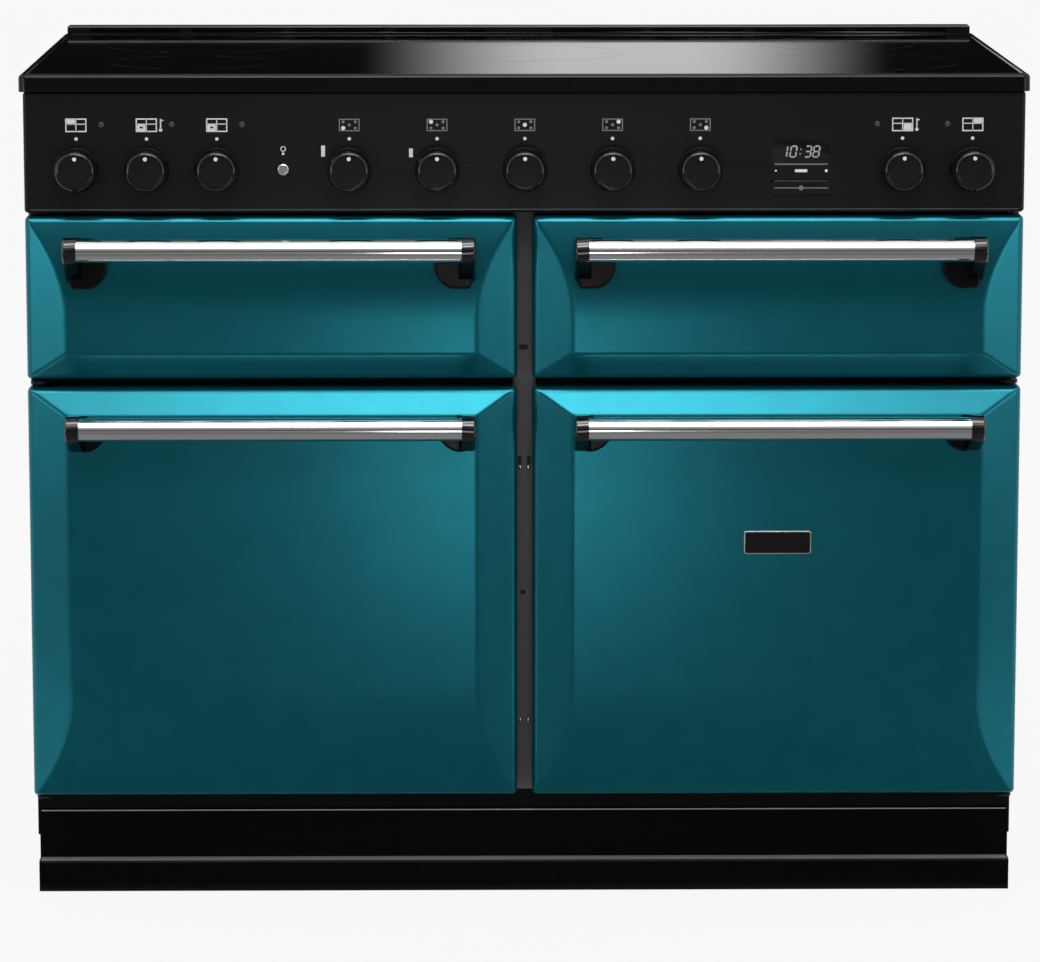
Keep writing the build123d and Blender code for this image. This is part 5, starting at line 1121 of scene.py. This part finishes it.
# Grey painted highlights: a flat strip on the step and a line along the top of the upper panel.
ledge_highlight_grey = finish("ledge_highlight_grey", (0.42, 0.42, 0.42), 0.4, metallic=0.3)
grain(ledge_highlight_grey, 400.0, 0.32, 0.5, (0.1, 1.0, 1.0))
plinth_low, plinth_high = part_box("plinth_panels")
STEP_Z = 0.0367
UPPER_FACE_Y = -0.21825
HIGHLIGHT_INSET = 0.002
HIGHLIGHT_THICKNESS = 0.0004
HIGHLIGHT_RISE = 0.0001
LEDGE_GAP = 0.003
TOP_HIGHLIGHT_DROP = 0.0016
TOP_HIGHLIGHT_HEIGHT = 0.0012
highlight_width = plinth_high.x - plinth_low.x - 2 * HIGHLIGHT_INSET
bm = bmesh.new()
ledge_middle = (0.0, (UPPER_FACE_Y + plinth_low.y + HIGHLIGHT_INSET) / 2, STEP_Z + HIGHLIGHT_RISE)
block(bm, ledge_middle, (highlight_width, UPPER_FACE_Y - plinth_low.y - LEDGE_GAP, HIGHLIGHT_THICKNESS))
top_highlight_z = plinth_high.z - TOP_HIGHLIGHT_DROP
bar(bm, 0.0, top_highlight_z, highlight_width, TOP_HIGHLIGHT_HEIGHT, UPPER_FACE_Y - PRINT_PROUD)
piece("plinth_painted_highlights", bm, [ledge_highlight_grey], "cooker")


# Door plate: a plain plate with nothing on it, black with a fine bright rim, glued to the right oven
# door. Small screws in bright steel hold the catches on the centre stile.
PLATE_X = (0.241, 0.315)
PLATE_Z = (0.392, 0.418)
PLATE_PROUD = 0.0012
PLATE_SINK = 0.0005
FACE_INSET = 0.0014
FACE_PROUD = 0.0003
PLATE_CORNER_STEPS = 6
skin_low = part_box("right_oven_door_skin")[0]
plate_low = Vector((PLATE_X[0], skin_low.y - PLATE_PROUD, PLATE_Z[0]))
plate_high = Vector((PLATE_X[1], skin_low.y + PLATE_SINK, PLATE_Z[1]))
face_low = plate_low + Vector((FACE_INSET, -FACE_PROUD, FACE_INSET))
face_high = plate_high - Vector((FACE_INSET, 0.0, FACE_INSET))
bm = rounded_sheet(plate_low, plate_high, "y", plate_low.y, 0.003, PLATE_CORNER_STEPS, 0.0006)
piece("plain_plate_rim", bm, [bright_steel], "right_oven_door")
bm = rounded_sheet(face_low, face_high, "y", face_low.y, 0.002, PLATE_CORNER_STEPS, 0.0003)
piece("plain_plate_face", bm, [knob_black], "right_oven_door")

stile_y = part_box("front_frame")[0].y
SCREW_PLACES = ((-0.0045, 0.478), (0.0045, 0.478), (-0.0045, 0.192), (0.0045, 0.192))
SCREW_HEAD = ((0.0, -0.0012), (0.0012, -0.0011), (0.002, -0.0007), (0.0023, 0.0))
SLOT_SHADES = (
    (-0.001, 0.614, 0.0095, 0.0055),
    (-0.0052, 0.487, 0.0042, 0.0095),
    (0.0052, 0.487, 0.0042, 0.0095),
)
STILE_HOLE_SHADE = (-0.0015, 0.338, 0.003)
bm = bmesh.new()
for x, z in SCREW_PLACES:
    head = [(x + r, stile_y + y, z) for r, y in SCREW_HEAD]
    spun_ring(bm, Vector((x, stile_y, z)), Y_AXIS, head, 24)
close_mesh(bm)
piece("stile_screws", bm, [bright_steel], "cooker")
# The slots and the hole in the centre stile are flat near-black patches on its face, painted shade for
# the openings.
bm = bmesh.new()
for x, z, width, height in SLOT_SHADES:
    bar(bm, x, z, width, height, stile_y)
dot(bm, *STILE_HOLE_SHADE, stile_y)
piece("stile_slot_shade", bm, [black_powder_and_slot_shade], "cooker")
